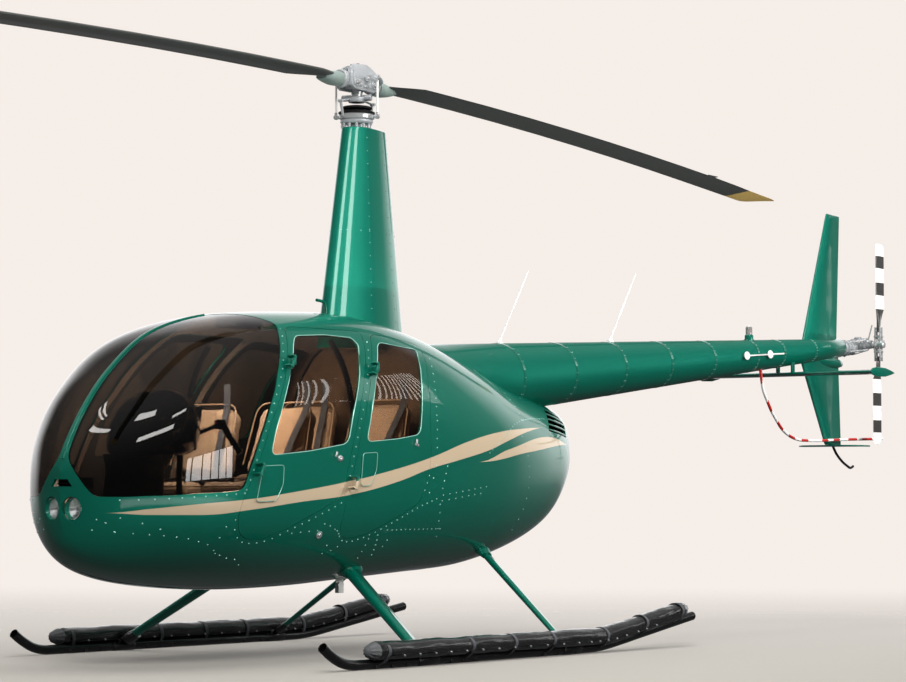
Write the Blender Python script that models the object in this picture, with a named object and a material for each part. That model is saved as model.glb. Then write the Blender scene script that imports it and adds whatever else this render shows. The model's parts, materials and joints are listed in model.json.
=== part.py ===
# A light four-seat piston helicopter on skids with stowed floats, at full size.
# Metres, +Z up, +X forward, +Y to port. The stations below are measured from the mast
# axis on the ground, and MAST_X moves them all to the middle of the whole length.

import math

import bmesh
import bpy
from mathutils import Matrix, Vector

# Driving dimensions
MAIN_RADIUS = 5.03
TIP_CHORD = 0.20
MAIN_DROOP = 0.21
DROOP_POWER = 1.8
MAIN_AZIMUTH = math.radians(4.7)
# How far each blade's root stands above the middle of the hub
BLADE_LIFT = {"fore": 0.026, "aft": 0.014}
HUB_HEIGHT = 3.215
TAIL_RADIUS = 0.737
TAIL_CHORD = 0.125
TAIL_HUB = Vector((-5.85, 0.17, 2.0))
GUARD_REACH = 6.12
TIP_REACH = MAIN_RADIUS * math.cos(MAIN_AZIMUTH) + 0.7 * TIP_CHORD * math.sin(MAIN_AZIMUTH)
MAST_X = (GUARD_REACH - TIP_REACH) / 2
SKID_TREAD = 2.18
SKID_RADIUS = 0.026
SKIN = 0.020
GLASS = 0.006
FIT = 0.0003
DOOR_GAP = 0.005

# Hull sections: station, half width, top, bottom, height of the widest point,
# and how square the section is above and below it (2 is an ellipse).
HULL = [
    (2.318, 0.010, 0.985, 0.760, 0.930, 2.0, 2.0),
    (2.279, 0.185, 1.110, 0.615, 0.925, 2.1, 2.1),
    (2.160, 0.378, 1.309, 0.512, 0.925, 2.4, 2.2),
    (1.980, 0.519, 1.513, 0.447, 0.930, 2.6, 2.3),
    (1.700, 0.621, 1.713, 0.404, 0.950, 2.7, 2.4),
    (1.300, 0.644, 1.826, 0.379, 0.960, 2.7, 2.5),
    (0.800, 0.643, 1.872, 0.385, 0.970, 2.7, 2.6),
    (0.300, 0.638, 1.881, 0.412, 0.980, 2.7, 2.6),
    (-0.200, 0.616, 1.811, 0.437, 1.000, 2.5, 2.5),
    (-0.700, 0.550, 1.683, 0.466, 1.030, 2.3, 2.4),
    (-1.200, 0.437, 1.553, 0.550, 1.060, 2.1, 2.2),
    (-1.596, 0.314, 1.475, 0.675, 1.080, 2.1, 2.1),
    (-1.838, 0.197, 1.425, 0.833, 1.110, 2.0, 2.0),
    (-1.994, 0.091, 1.365, 0.996, 1.140, 2.0, 2.0),
    (-2.078, 0.010, 1.254, 1.149, 1.170, 2.0, 2.0),
]
HULL_STEPS = 2
HULL_SIDES = 32
WALL_SIDES = 24

# Outlines on the port side: windscreen as x, y, z, doors and windows as x, z.
WINDSCREEN = [
    (2.300, 0.030, 1.060), (2.275, 0.190, 0.868), (2.115, 0.422, 0.872),
    (1.898, 0.558, 0.886), (1.650, 0.627, 0.903), (1.568, 0.634, 1.085),
    (1.475, 0.625, 1.258), (1.378, 0.596, 1.415), (1.282, 0.541, 1.564),
    (1.216, 0.490, 1.652), (1.105, 0.362, 1.777),
    (1.190, 0.200, 1.826), (1.270, 0.024, 1.836), (1.440, 0.024, 1.795),
    (1.619, 0.024, 1.745), (1.795, 0.024, 1.662), (1.996, 0.024, 1.498),
    (2.127, 0.024, 1.352), (2.237, 0.024, 1.188),
]
FRONT_DOOR = [
    (1.552, 0.648), (1.630, 0.680), (1.667, 0.750), (1.654, 0.846), (1.564, 1.006),
    (1.437, 1.250), (1.303, 1.444), (1.163, 1.655), (1.085, 1.750), (1.030, 1.765),
    (0.480, 1.765), (0.515, 1.707), (0.625, 1.527), (0.731, 1.317), (0.823, 1.083),
    (0.870, 0.935), (0.895, 0.868), (0.942, 0.848), (1.113, 0.779), (1.303, 0.702),
    (1.466, 0.652),
]
REAR_DOOR = [
    (0.779, 0.649), (0.830, 0.657), (0.868, 0.700), (0.860, 0.796), (0.814, 0.947),
    (0.725, 1.201), (0.612, 1.446), (0.493, 1.649), (0.410, 1.755), (0.275, 1.750),
    (-0.055, 1.716), (0.049, 1.530), (0.104, 1.295), (0.121, 1.025), (0.165, 0.918),
    (0.211, 0.840), (0.333, 0.787), (0.498, 0.722), (0.653, 0.666),
]
FRONT_WINDOW = [
    (1.458, 1.078), (1.412, 1.209), (1.291, 1.418), (1.121, 1.656), (1.055, 1.716),
    (0.800, 1.733), (0.600, 1.726), (0.576, 1.690), (0.687, 1.485), (0.785, 1.298),
    (0.838, 1.150), (1.155, 1.105),
]
REAR_WINDOW = [
    (0.685, 1.160), (0.606, 1.365), (0.498, 1.575), (0.395, 1.712), (0.041, 1.689),
    (0.026, 1.680), (0.113, 1.527), (0.167, 1.356), (0.207, 1.210), (0.404, 1.183),
]
DOOR_EYE = Vector((0.75, -0.55, 1.20))
SCREEN_EYE = Vector((0.95, 0.20, 1.20))
CONE_REACH = 1.35

# Door hinges: two pins each, on brackets that stand this far off the skin.
HINGES = {
    "front": [(1.562, 1.002), (1.219, 1.567)],
    "rear": [(0.817, 0.940), (0.553, 1.555)],
}
HINGE_STANDOFF = 0.040
HINGE_RADIUS = 0.009
HINGE_LENGTH = 0.050
HINGE_PLAY = 0.0004
EAR_THICKNESS = 0.010

# Tail cone: centre height and radius run straight between its two ends.
CONE_FRONT = (-0.80, 1.5387, 0.2322)
CONE_REAR = (-5.56, 1.9634, 0.0671)
CONE_WALL = 0.004

# Fins as x, z outlines with their half thickness at the root and tip.
UPPER_FIN = [(-5.00, 1.90), (-5.384, 2.934), (-5.576, 2.925), (-5.52, 1.90)]
LOWER_FIN = [(-4.98, 1.90), (-5.353, 1.240), (-5.585, 1.240), (-5.55, 1.94)]
STABILIZER = {"lead": -4.76, "trail": -5.06, "span": 1.42, "z": 1.745, "thick": 0.034}
END_PLATE = {"lead": -5.33, "trail": -5.58, "span": 0.52, "z": 1.248, "thick": 0.012}
PLATE_EDGE = [(0.50, 0.0), (0.80, 0.08), (0.95, 0.22), (1.0, 0.50), (1.0, 0.90), (0.90, 1.0)]
TAIL_SKID = [
    (-5.460, 1.258), (-5.520, 1.190), (-5.600, 1.140), (-5.680, 1.104), (-5.730, 1.092), (-5.765, 1.105),
]

# Tail rotor guard: a tube as x, z beside the lower fin.
GUARD = [
    (-4.39, 1.800), (-4.46, 1.66), (-4.53, 1.56), (-4.62, 1.47), (-4.74, 1.38),
    (-4.88, 1.32), (-5.04, 1.292), (-5.25, 1.288), (-5.60, 1.298), (-GUARD_REACH, 1.312),
]
GUARD_RADIUS = 0.010
GUARD_Y = 0.045

# Landing gear: legs from top to foot, and the skid tube's path as x, z.
LEGS = {
    "front": {"top": (0.545, 0.415, 0.470), "foot": (0.745, 1.062, 0.052), "chord": 0.100},
    "rear": {"top": (-0.707, 0.330, 0.600), "foot": (-0.560, 1.062, 0.052), "chord": 0.062},
}
SKID_PATH = [
    (1.580, 0.125), (1.520, 0.085), (1.440, 0.046), (1.357, 0.0285), (1.250, 0.026),
    (-0.700, 0.026), (-0.840, 0.030), (-0.980, 0.045), (-1.815, 0.170),
]
BAG_PATH = [(1.270, 0.0), (-0.700, 0.0), (-0.840, 0.004), (-0.980, 0.019), (-1.700, 0.127)]
BAG_RADIUS = 0.056
BAG_HEIGHT = 0.092

SEATS = [
    # name, cushion front x, cushion bottom, back's foot x, back's head x, head z
    ("front", 1.42, 0.840, 0.95, 0.82, 1.36),
    ("rear", 0.56, 0.880, 0.13, 0.00, 1.40),
]
SEAT_SIDE = (0.030, 0.500)
FLOOR_TOP = 0.620
STICK_X = 1.44
STICK_BAR = ((0.0, 0.275, 1.241), (0.0, -0.360, 1.064))
GRIP_TOP = Vector((0.005, 0, 0.020))
ENGINE = {"front": -0.45, "rear": -1.22, "half": 0.30, "low": 0.66, "high": 1.06}
REAR_FRAME = -0.115
ROOF_LOW = 1.772
NOSE_INLET = ((2.22, -0.055, 0.925), (2.5, 0.055, 0.965))
LAMPS = {"y": 0.070, "z": 0.806, "radius": 0.058}

# Cowl grille: left and right edges of its slots as x, z, from the top slot to the lowest.
GRILLE_LEFT = [(-1.581, 1.431), (-1.423, 1.267)]
GRILLE_RIGHT = [(-1.805, 1.385), (-1.800, 1.238)]
GRILLE_SLOTS = 5
SLOT_HEIGHT = 0.018

# Mast fairing: height, reach ahead of the mast, reach behind it, half thickness.
FAIRING = [(1.70, 0.300, 0.425, 0.145), (2.965, 0.097, 0.255, 0.080)]
SWASH_Z = 3.035
LINK = (-0.045, 0.112)

# Rotor blade sections from root to tip: radius, chord, thickness.
BLADE_ROWS = [
    (0.156, 0.090, 0.080), (0.300, 0.090, 0.075), (0.420, 0.170, 0.050),
    (0.620, 0.258, 0.031), (2.000, 0.258, 0.031), (3.500, 0.258, 0.031),
    (4.600, 0.262, 0.030), (4.960, 0.255, 0.026), (MAIN_RADIUS, TIP_CHORD, 0.014),
]
TAIL_ROWS = [
    (0.1203, 0.050, 0.026), (0.200, 0.060, 0.020), (0.260, TAIL_CHORD, 0.014),
    (0.700, TAIL_CHORD, 0.013), (TAIL_RADIUS, 0.100, 0.008),
]
BEACON_X = -4.30
AERIALS = {"front": -1.38, "rear": -2.58}

for oldObject in list(bpy.data.objects):
    bpy.data.objects.remove(oldObject)

scene = bpy.context.scene
craft = bpy.data.collections.new("helicopter")
cutters = bpy.data.collections.new("cutters")
scene.collection.children.link(craft)
scene.collection.children.link(cutters)


def material(name, color, roughness, metallic=0.0, alpha=1.0):
    made = bpy.data.materials.new(name)
    made.use_nodes = True
    shader = made.node_tree.nodes["Principled BSDF"]
    shader.inputs["Base Color"].default_value = (*color, 1.0)
    shader.inputs["Roughness"].default_value = roughness
    shader.inputs["Metallic"].default_value = metallic
    shader.inputs["Alpha"].default_value = alpha
    return made


PAINT = material("green_paint", (0.0, 0.12, 0.08), 0.2, 0.3)
ACRYLIC = material("tinted_acrylic", (0.12, 0.10, 0.09), 0.05, 0.0, 0.35)
BLACK = material("black_plastic", (0.02, 0.02, 0.02), 0.5)
CARPET = material("grey_carpet", (0.12, 0.12, 0.12), 0.9)
LEATHER = material("tan_leather", (0.36, 0.24, 0.14), 0.6)
ALLOY = material("machined_alloy", (0.6, 0.6, 0.6), 0.35, 1.0)
STEEL = material("steel", (0.45, 0.45, 0.45), 0.3, 1.0)
BLADE = material("blade_paint", (0.05, 0.05, 0.05), 0.5)
IRON = material("engine_casting", (0.2, 0.2, 0.2), 0.6, 0.5)
FABRIC = material("coated_fabric", (0.03, 0.03, 0.03), 0.7)
LAMP = material("lamp_glass", (0.9, 0.9, 0.9), 0.1)
RED = material("red_glass", (0.5, 0.05, 0.05), 0.2)
WHITE = material("white_paint", (0.8, 0.8, 0.8), 0.4)


def place(bm, name, finish, pivot=None):
    """Makes an object of a bmesh, with its origin on the pivot, shifted to the shared frame."""
    origin = Vector(pivot) if pivot is not None else Vector((0, 0, 0))
    bmesh.ops.recalc_face_normals(bm, faces=bm.faces)
    if bm.calc_volume(signed=True) < 0:
        bmesh.ops.reverse_faces(bm, faces=bm.faces)
    bmesh.ops.translate(bm, verts=bm.verts, vec=-origin)
    mesh = bpy.data.meshes.new(name)
    bm.to_mesh(mesh)
    bm.free()
    made = bpy.data.objects.new(name, mesh)
    made.location = origin + Vector((MAST_X, 0, 0))
    mesh.materials.append(finish)
    craft.objects.link(made)
    return made


def cutter(bm, name):
    made = place(bm, name, STEEL)
    craft.objects.unlink(made)
    cutters.objects.link(made)
    made.hide_render = True
    made.display_type = "WIRE"
    return made


def boolean(target, tool, operation="DIFFERENCE"):
    modifier = target.modifiers.new(tool.name, "BOOLEAN")
    modifier.object = tool
    modifier.operation = operation
    modifier.solver = "EXACT"
    return target


def ringLoops(bm, rings):
    """One closed loop of edges for each ring of points."""
    loops = []
    for ring in rings:
        verts = bmesh.ops.create_circle(bm, segments=len(ring), radius=1.0)["verts"]
        for vert, point in zip(verts, ring):
            vert.co = point
        loops.append([edge for vert in verts for edge in vert.link_edges if edge.verts[0] is vert])
    return loops


def loft(rings):
    """Closed body through rings of equal length, with fanned ends."""
    bm = bmesh.new()
    loops = ringLoops(bm, rings)
    for first, second in zip(loops, loops[1:]):
        bmesh.ops.bridge_loops(bm, edges=first + second)
    ends = []
    for loop in (loops[0], loops[-1]):
        ends += bmesh.ops.edgeloop_fill(bm, edges=loop)["faces"]
    bmesh.ops.poke(bm, faces=ends)
    return bm


def tube(outer, inner):
    """Open tube: outer rings and inner rings of equal length, joined at both ends."""
    bm = bmesh.new()
    loops = [[bm.verts.new(point) for point in ring] for ring in outer + inner[::-1]]
    for first, second in zip(loops, loops[1:] + loops[:1]):
        for i, j in zip(range(len(first)), [*range(1, len(first)), 0]):
            bm.faces.new((first[i], first[j], second[j], second[i]))
    return bm


def box(low, high):
    bm = bmesh.new()
    bmesh.ops.create_cube(bm, size=1.0)
    size = Vector(high) - Vector(low)
    bmesh.ops.scale(bm, verts=bm.verts, vec=size)
    bmesh.ops.translate(bm, verts=bm.verts, vec=(Vector(low) + Vector(high)) / 2)
    return bm


def slab(outline, thickness):
    """Flat outline pushed along a vector."""
    bm = bmesh.new()
    face = bm.faces.new([bm.verts.new(point) for point in outline])
    made = bmesh.ops.extrude_face_region(bm, geom=[face])
    moved = [item for item in made["geom"] if isinstance(item, bmesh.types.BMVert)]
    bmesh.ops.translate(bm, verts=moved, vec=thickness)
    return bm


def rod(start, end, radius, sides=16, endRadius=None):
    """Cylinder or cone from start to end."""
    start, end = Vector(start), Vector(end)
    along = end - start
    bm = bmesh.new()
    bmesh.ops.create_cone(bm, cap_ends=True, segments=sides, radius1=radius,
                          radius2=radius if endRadius is None else endRadius,
                          depth=along.length)
    turn = along.to_track_quat("Z", "Y").to_matrix().to_4x4()
    bmesh.ops.transform(bm, matrix=Matrix.Translation((start + end) / 2) @ turn, verts=bm.verts)
    return bm


def together(bodies):
    """One bmesh of several bodies that don't touch."""
    joined = bmesh.new()
    for bm in bodies:
        mesh = bpy.data.meshes.new("scratch")
        bm.to_mesh(mesh)
        bm.free()
        joined.from_mesh(mesh)
        bpy.data.meshes.remove(mesh)
    return joined


def ringAlong(center, tangent, radiusA, radiusB, sides, sideways=Vector((0, 1, 0))):
    """Ellipse about a point, square to the tangent."""
    across = sideways - tangent * tangent.dot(sideways)
    across.normalize()
    up = tangent.cross(across)
    turns = [2 * math.pi * (i + 0.5) / sides for i in range(sides)]
    return [center + across * radiusA * math.cos(a) + up * radiusB * math.sin(a) for a in turns]


def pipe(points, radius, sides=10):
    """Round bar along a path of points, with a flat underneath at the full radius."""
    points = [Vector(p) for p in points]
    radius /= math.cos(math.pi / sides)
    rings = []
    for i, point in enumerate(points):
        before = points[max(i - 1, 0)]
        after = points[min(i + 1, len(points) - 1)]
        rings.append(ringAlong(point, (after - before).normalized(), radius, radius, sides))
    return loft(rings)


def splineRows(rows, steps):
    """Smooth rows between the rows of a table."""
    result = []
    for i in range(len(rows) - 1):
        before = rows[max(i - 1, 0)]
        start, end = rows[i], rows[i + 1]
        after = rows[min(i + 2, len(rows) - 1)]
        for k in range(steps):
            t = k / steps
            result.append(tuple(
                0.5 * (2 * b + (c - a) * t + (2 * a - 5 * b + 4 * c - d) * t * t
                       + (3 * b - a - 3 * c + d) * t ** 3)
                for a, b, c, d in zip(before, start, end, after)))
    result.append(tuple(rows[-1]))
    return result


HULL_ROWS = splineRows(HULL, HULL_STEPS)


def hullRing(row, inset, sides):
    x, half, top, bottom, belt, upper, lower = row
    half, top, bottom = half - inset, top - inset, bottom + inset
    ring = []
    for i in range(sides):
        angle = 2 * math.pi * (i + 0.5) / sides
        c, s = math.cos(angle), math.sin(angle)
        power = 2 / (upper if s > 0 else lower)
        y = half * math.copysign(abs(c) ** power, c)
        rise = (top - belt) if s > 0 else (belt - bottom)
        ring.append(Vector((x, y, belt + rise * math.copysign(abs(s) ** power, s))))
    return ring


def hullLoft(inset):
    """The hull's outer form, or the same form set in by a wall's thickness, with fewer faces."""
    deep = inset >= SKIN
    rows = [row for row in (HULL if deep else HULL_ROWS) if row[1] > 0.009 + 2.2 * inset]
    sides = WALL_SIDES if deep else HULL_SIDES
    rings = []
    for row in rows:
        shift = -inset * max(-1.0, min(1.0, (row[0] - 0.2) / 1.9))
        rings.append([point + Vector((shift, 0, 0)) for point in hullRing(row, inset, sides)])
    bm = loft(rings)
    bmesh.ops.triangulate(bm, faces=bm.faces)
    return bm


def hullRow(x):
    for first, second in zip(HULL_ROWS, HULL_ROWS[1:]):
        if first[0] >= x >= second[0]:
            t = (first[0] - x) / (first[0] - second[0])
            return [a + (b - a) * t for a, b in zip(first, second)]
    return HULL_ROWS[-1]


def hullSide(x, z):
    """Half width of the hull at a station and height."""
    _, half, top, bottom, belt, upper, lower = hullRow(x)
    rise, power = ((z - belt) / (top - belt), upper) if z > belt else (
        (belt - z) / (belt - bottom), lower)
    return half * max(0.0, 1 - rise ** power) ** (1 / power)


def roundCorners(points, radius, steps=3):
    """Rounds each corner of a closed outline with a short curve."""
    points = [Vector(p) for p in points]
    result = []
    for i, corner in enumerate(points):
        before, after = points[i - 1], points[(i + 1) % len(points)]
        inward, outward = before - corner, after - corner
        reach = min(radius, 0.4 * inward.length, 0.4 * outward.length)
        if inward.angle(-outward) < 0.2:
            result.append(corner)
            continue
        start = corner + inward.normalized() * reach
        end = corner + outward.normalized() * reach
        for k in range(steps + 1):
            t = k / steps
            result.append(start.lerp(corner, t).lerp(corner.lerp(end, t), t))
    return result


def grow(outline, amount):
    """Moves each side of a flat closed outline outwards by an amount."""
    area = sum(a.x * b.y - b.x * a.y for a, b in zip(outline, outline[1:] + outline[:1]))
    sign = 1 if area > 0 else -1
    result = []
    for i, point in enumerate(outline):
        before, after = outline[i - 1], outline[(i + 1) % len(outline)]
        along = (after - before).normalized()
        result.append(point + Vector((along.y, -along.x)) * amount * sign)
    return result


def coneFrom(eye, points, reach):
    """Closed cone of sight from a point inside the cabin through an outline on the skin."""
    bm = bmesh.new()
    rim = ringLoops(bm, [[eye + (point - eye) * reach for point in points]])[0]
    middle = sum(points, Vector()) / len(points)
    for tip in (eye, eye + (middle - eye) * (reach + 0.5)):
        made = bmesh.ops.extrude_edge_only(bm, edges=rim)["geom"]
        far = [item for item in made if isinstance(item, bmesh.types.BMVert)]
        bmesh.ops.pointmerge(bm, verts=far, merge_co=tip)
    return bm


def sideCone(outline, amount, side):
    flat = grow(roundCorners([Vector((x, z)) for x, z in outline], 0.05), amount)
    points = [Vector((p.x, side * hullSide(p.x, p.y), p.y)) for p in flat]
    eye = Vector((DOOR_EYE.x, side * DOOR_EYE.y, DOOR_EYE.z))
    return coneFrom(eye, points, CONE_REACH)


def screenCone(amount, side):
    points = roundCorners([Vector(p) for p in WINDSCREEN], 0.04)
    middle = sum(points, Vector()) / len(points)
    grown = [p + (p - middle).normalized() * amount for p in points]
    eye = Vector((SCREEN_EYE.x, side * SCREEN_EYE.y, SCREEN_EYE.z))
    return coneFrom(eye, [Vector((p.x, side * p.y, p.z)) for p in grown], CONE_REACH)


def unite(bodies):
    """Joins overlapping closed bodies into one with Boolean unions, and returns its bmesh."""
    tools = []
    for index, bm in enumerate(bodies):
        tools.append(cutter(bm, f"join_{len(cutters.objects)}_{index}"))
    base = tools[0]
    for tool in tools[1:]:
        boolean(base, tool, "UNION")
    graph = bpy.context.evaluated_depsgraph_get()
    mesh = bpy.data.meshes.new_from_object(base.evaluated_get(graph))
    bm = bmesh.new()
    bm.from_mesh(mesh)
    for tool in tools:
        bpy.data.objects.remove(tool)
    bpy.data.meshes.remove(mesh)
    return bm


def baked(target):
    """Applies an object's Booleans, and removes the tiny edges that they leave."""
    graph = bpy.context.evaluated_depsgraph_get()
    mesh = bpy.data.meshes.new_from_object(target.evaluated_get(graph))
    bm = bmesh.new()
    bm.from_mesh(mesh)
    bmesh.ops.remove_doubles(bm, verts=bm.verts, dist=0.00005)
    if bm.calc_volume(signed=True) < 0:
        bmesh.ops.reverse_faces(bm, faces=bm.faces)
    bm.to_mesh(mesh)
    bm.free()
    target.modifiers.clear()
    target.data = mesh
    return target


SIDES = (("left", 1), ("right", -1))


def hingeLine(doorName, side):
    """The two pin points of a door's hinges, off the skin."""
    points = []
    for x, z in HINGES[doorName]:
        points.append(Vector((x, side * (hullSide(x, z) + HINGE_STANDOFF), z)))
    return points


def hingeEar(pin, axis, side, end):
    """Ear of the frame at one end of a hinge pin, with a foot ahead of it that reaches into the skin."""
    outward = Vector((0, side, 0)) - axis * axis.y * side
    outward.normalize()
    ahead = outward.cross(axis) * side
    near = end * (HINGE_LENGTH / 2 + HINGE_PLAY)
    far = near + end * EAR_THICKNESS
    low, high = min(near, far), max(near, far)
    footMiddle = pin + ahead * 0.018 + axis * (low + high) / 2
    depth = abs(footMiddle.y) - hullSide(footMiddle.x, footMiddle.z) + SKIN * 0.35
    ear = unite([
        box((-0.008, -0.010, low), (0.0245, HINGE_RADIUS, high)),
        box((0.0125, -depth, low), (0.0240, HINGE_RADIUS - 0.0005, high)),
    ])
    turn = Matrix((ahead, outward, axis)).transposed().to_4x4()
    bmesh.ops.transform(ear, matrix=Matrix.Translation(pin) @ turn, verts=ear.verts)
    return ear


innerForm = cutter(hullLoft(SKIN), "inner_form")
glassInner = cutter(hullLoft(0.002 + GLASS), "glass_inner_form")


def coneSection(x, radiusAdd=0.0):
    t = (CONE_FRONT[0] - x) / (CONE_FRONT[0] - CONE_REAR[0])
    z = CONE_FRONT[1] + (CONE_REAR[1] - CONE_FRONT[1]) * t
    radius = CONE_FRONT[2] + (CONE_REAR[2] - CONE_FRONT[2]) * t
    return Vector((x, 0, z)), radius + radiusAdd


def coneRings(radiusAdd):
    """Rings of the tail cone: a rounded nose inside the hull, then the straight taper."""
    sides = 26
    stations = [(-0.52, 0.30), (-0.58, 0.62), (-0.66, 0.84), (-0.74, 0.96), (-0.84, 1.0)]
    stations += [(-0.84 - (5.56 - 0.84) * i / 3, 1.0) for i in range(1, 4)]
    rings = []
    for x, share in stations:
        center, radius = coneSection(x)
        rings.append(ringAlong(center, Vector((1, 0, 0)), radius * share + radiusAdd,
                               radius * share + radiusAdd, sides))
    return rings


coneCut = cutter(loft(coneRings(FIT)), "cone_clearance")

# Hull panels
doorCutters = []
for doorName, outline in (("front", FRONT_DOOR), ("rear", REAR_DOOR)):
    for sideName, side in SIDES:
        doorCutters.append(cutter(sideCone(outline, DOOR_GAP, side), f"{doorName}_{sideName}_hole"))
screenCutters = [cutter(screenCone(FIT, side), f"screen_{name}_hole") for name, side in SIDES]


def cabinRegion(low, high, name):
    return cutter(box(low, high), name)


roofRegion = cabinRegion((REAR_FRAME + FIT, -0.8, ROOF_LOW), (1.262, 0.8, 2.2), "roof_region")
rearRegion = cabinRegion((-3.0, -0.8, 0.0), (REAR_FRAME, 0.8, 2.2), "rear_region")
frameRegion = cabinRegion((REAR_FRAME + FIT, -0.8, 0.0), (3.0, 0.8, 2.2), "frame_region")
roofHole = cabinRegion((REAR_FRAME - 0.1, -0.8, ROOF_LOW - FIT), (1.262 + FIT, 0.8, 2.2), "roof_hole")

frame = place(hullLoft(0), "cabin_frame", PAINT)
boolean(frame, innerForm)
boolean(frame, frameRegion, "INTERSECT")
boolean(frame, roofHole)
for tool in doorCutters + screenCutters:
    boolean(frame, tool)
boolean(frame, cutter(box(*NOSE_INLET), "nose_inlet_hole"))
for sideName, side in SIDES:
    lampY = side * LAMPS["y"]
    lampHole = rod((2.1, lampY, LAMPS["z"]), (2.5, lampY, LAMPS["z"]), LAMPS["radius"], 20)
    boolean(frame, cutter(lampHole, f"lamp_hole_{sideName}"))
ears = []
for doorName in HINGES:
    for sideName, side in SIDES:
        pins = hingeLine(doorName, side)
        axis = (pins[1] - pins[0]).normalized()
        for pin in pins:
            ears += [hingeEar(pin, axis, side, end) for end in (1, -1)]
boolean(frame, cutter(together(ears), "hinge_ears"), "UNION")
baked(frame)

roof = place(hullLoft(0), "roof_panel", PAINT)
boolean(roof, innerForm)
boolean(roof, roofRegion, "INTERSECT")
for tool in doorCutters + screenCutters:
    boolean(roof, tool)

rear = place(hullLoft(0), "aft_cowl", PAINT)
boolean(rear, innerForm)
boolean(rear, rearRegion, "INTERSECT")
boolean(rear, coneCut)
boolean(rear, cutter(box((-1.29, -0.183, 0.3), (-0.41, 0.183, 0.9)), "belly_opening"))
slots = []
for sideName, side in SIDES:
    for i in range(GRILLE_SLOTS):
        share = (i + 0.5) / GRILLE_SLOTS
        left = Vector(GRILLE_LEFT[0]).lerp(Vector(GRILLE_LEFT[1]), share)
        right = Vector(GRILLE_RIGHT[0]).lerp(Vector(GRILLE_RIGHT[1]), share)
        lift = Vector((0, SLOT_HEIGHT / 2))
        corners = [left + lift, right + lift, right - lift, left - lift]
        slots.append(slab([(p.x, side * 0.065, p.y) for p in corners], (0, side * 0.435, 0)))
boolean(rear, cutter(together(slots), "grille_slots"))
baked(rear)

for sideName, side in SIDES:
    screen = place(hullLoft(0.001), f"windscreen_{sideName}", ACRYLIC)
    boolean(screen, glassInner)
    boolean(screen, cutter(screenCone(-FIT, side), f"screen_{sideName}_edge"), "INTERSECT")


for doorName, outline, window in (("front", FRONT_DOOR, FRONT_WINDOW), ("rear", REAR_DOOR, REAR_WINDOW)):
    for sideName, side in SIDES:
        pins = hingeLine(doorName, side)
        axis = (pins[1] - pins[0]).normalized()
        door = place(hullLoft(0), f"{doorName}_door_{sideName}", PAINT)
        boolean(door, innerForm)
        boolean(door, cutter(sideCone(outline, 0.0, side), f"{doorName}_{sideName}_edge"), "INTERSECT")
        boolean(door, cutter(sideCone(window, FIT, side), f"{doorName}_{sideName}_window_hole"))
        for index, pin in enumerate(pins):
            half = axis * HINGE_LENGTH / 2
            arm = box((-0.0190, -0.0440, -0.0150), (-0.0069, 0.0031, 0.0150))
            bmesh.ops.scale(arm, vec=(1, side, 1), verts=arm.verts)
            bmesh.ops.translate(arm, vec=pin, verts=arm.verts)
            boolean(door, cutter(arm, f"{doorName}_{sideName}_arm_{index}"), "UNION")
            boolean(door, cutter(rod(pin - half, pin + half, HINGE_RADIUS, 12),
                                 f"{doorName}_{sideName}_knuckle_{index}"), "UNION")
        baked(door)
        pane = place(hullLoft(0.001), f"{doorName}_window_{sideName}", ACRYLIC)
        boolean(pane, glassInner)
        boolean(pane, cutter(sideCone(window, 0.0, side), f"{doorName}_{sideName}_pane"), "INTERSECT")
        baked(pane)

# Firewall, floor and seats
fitForm = cutter(hullLoft(SKIN + FIT), "fit_form")
wall = place(box((REAR_FRAME - 0.02, -0.7, 0.3), (REAR_FRAME, 0.7, 2.0)), "firewall", ALLOY)
boolean(wall, fitForm, "INTERSECT")
boolean(wall, coneCut)

floor = place(unite([
    box((REAR_FRAME + FIT, -0.7, 0.590), (1.98, 0.7, FLOOR_TOP)),
    box((0.98, -0.535, 0.600), (1.40, 0.535, SEATS[0][2] - FIT)),
    box((0.14, -0.525, 0.600), (0.54, 0.525, SEATS[1][2] - FIT)),
]), "cabin_floor", CARPET)
boolean(floor, fitForm, "INTERSECT")

for seatName, frontX, lowZ, footX, headX, headZ in SEATS:
    for sideName, side in SIDES:
        low, high = sorted(side * y for y in SEAT_SIDE)
        profile = [(frontX, lowZ), (frontX, lowZ + 0.09), (footX + 0.06, lowZ + 0.11),
                   (headX + 0.09, headZ), (headX + 0.02, headZ + 0.02), (footX - 0.05, lowZ)]
        bm = slab([(x, low, z) for x, z in profile], (0, high - low, 0))
        place(bm, f"{seatName}_seat_{sideName}", LEATHER)

console = unite([
    box((1.68, -0.120, FLOOR_TOP + FIT), (1.95, 0.120, 1.10)),
    loft([ringAlong(Vector((1.705, 0, z)), Vector((0, 0, 1)), half, half * 0.70, 20) for z, half in
          ((1.085, 0.19), (1.150, 0.245), (1.220, 0.248), (1.290, 0.228), (1.340, 0.185), (1.375, 0.080))]),
])
console = place(console, "instrument_console", BLACK)

barPort, barStarboard = [Vector(p) + Vector((STICK_X, 0, 0)) for p in STICK_BAR]
cyclic = unite([
    rod((STICK_X, 0, FLOOR_TOP + FIT), (STICK_X, 0, 1.164), 0.018, 12),
    rod(barStarboard, barPort, 0.013, 12),
    rod(barPort + GRIP_TOP, barPort + Vector((-0.040, 0.105, -0.150)), 0.019, 12),
    rod(barStarboard + GRIP_TOP, barStarboard + Vector((-0.010, -0.080, -0.090)), 0.019, 12),
])
place(cyclic, "cyclic_stick", BLACK)

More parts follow.
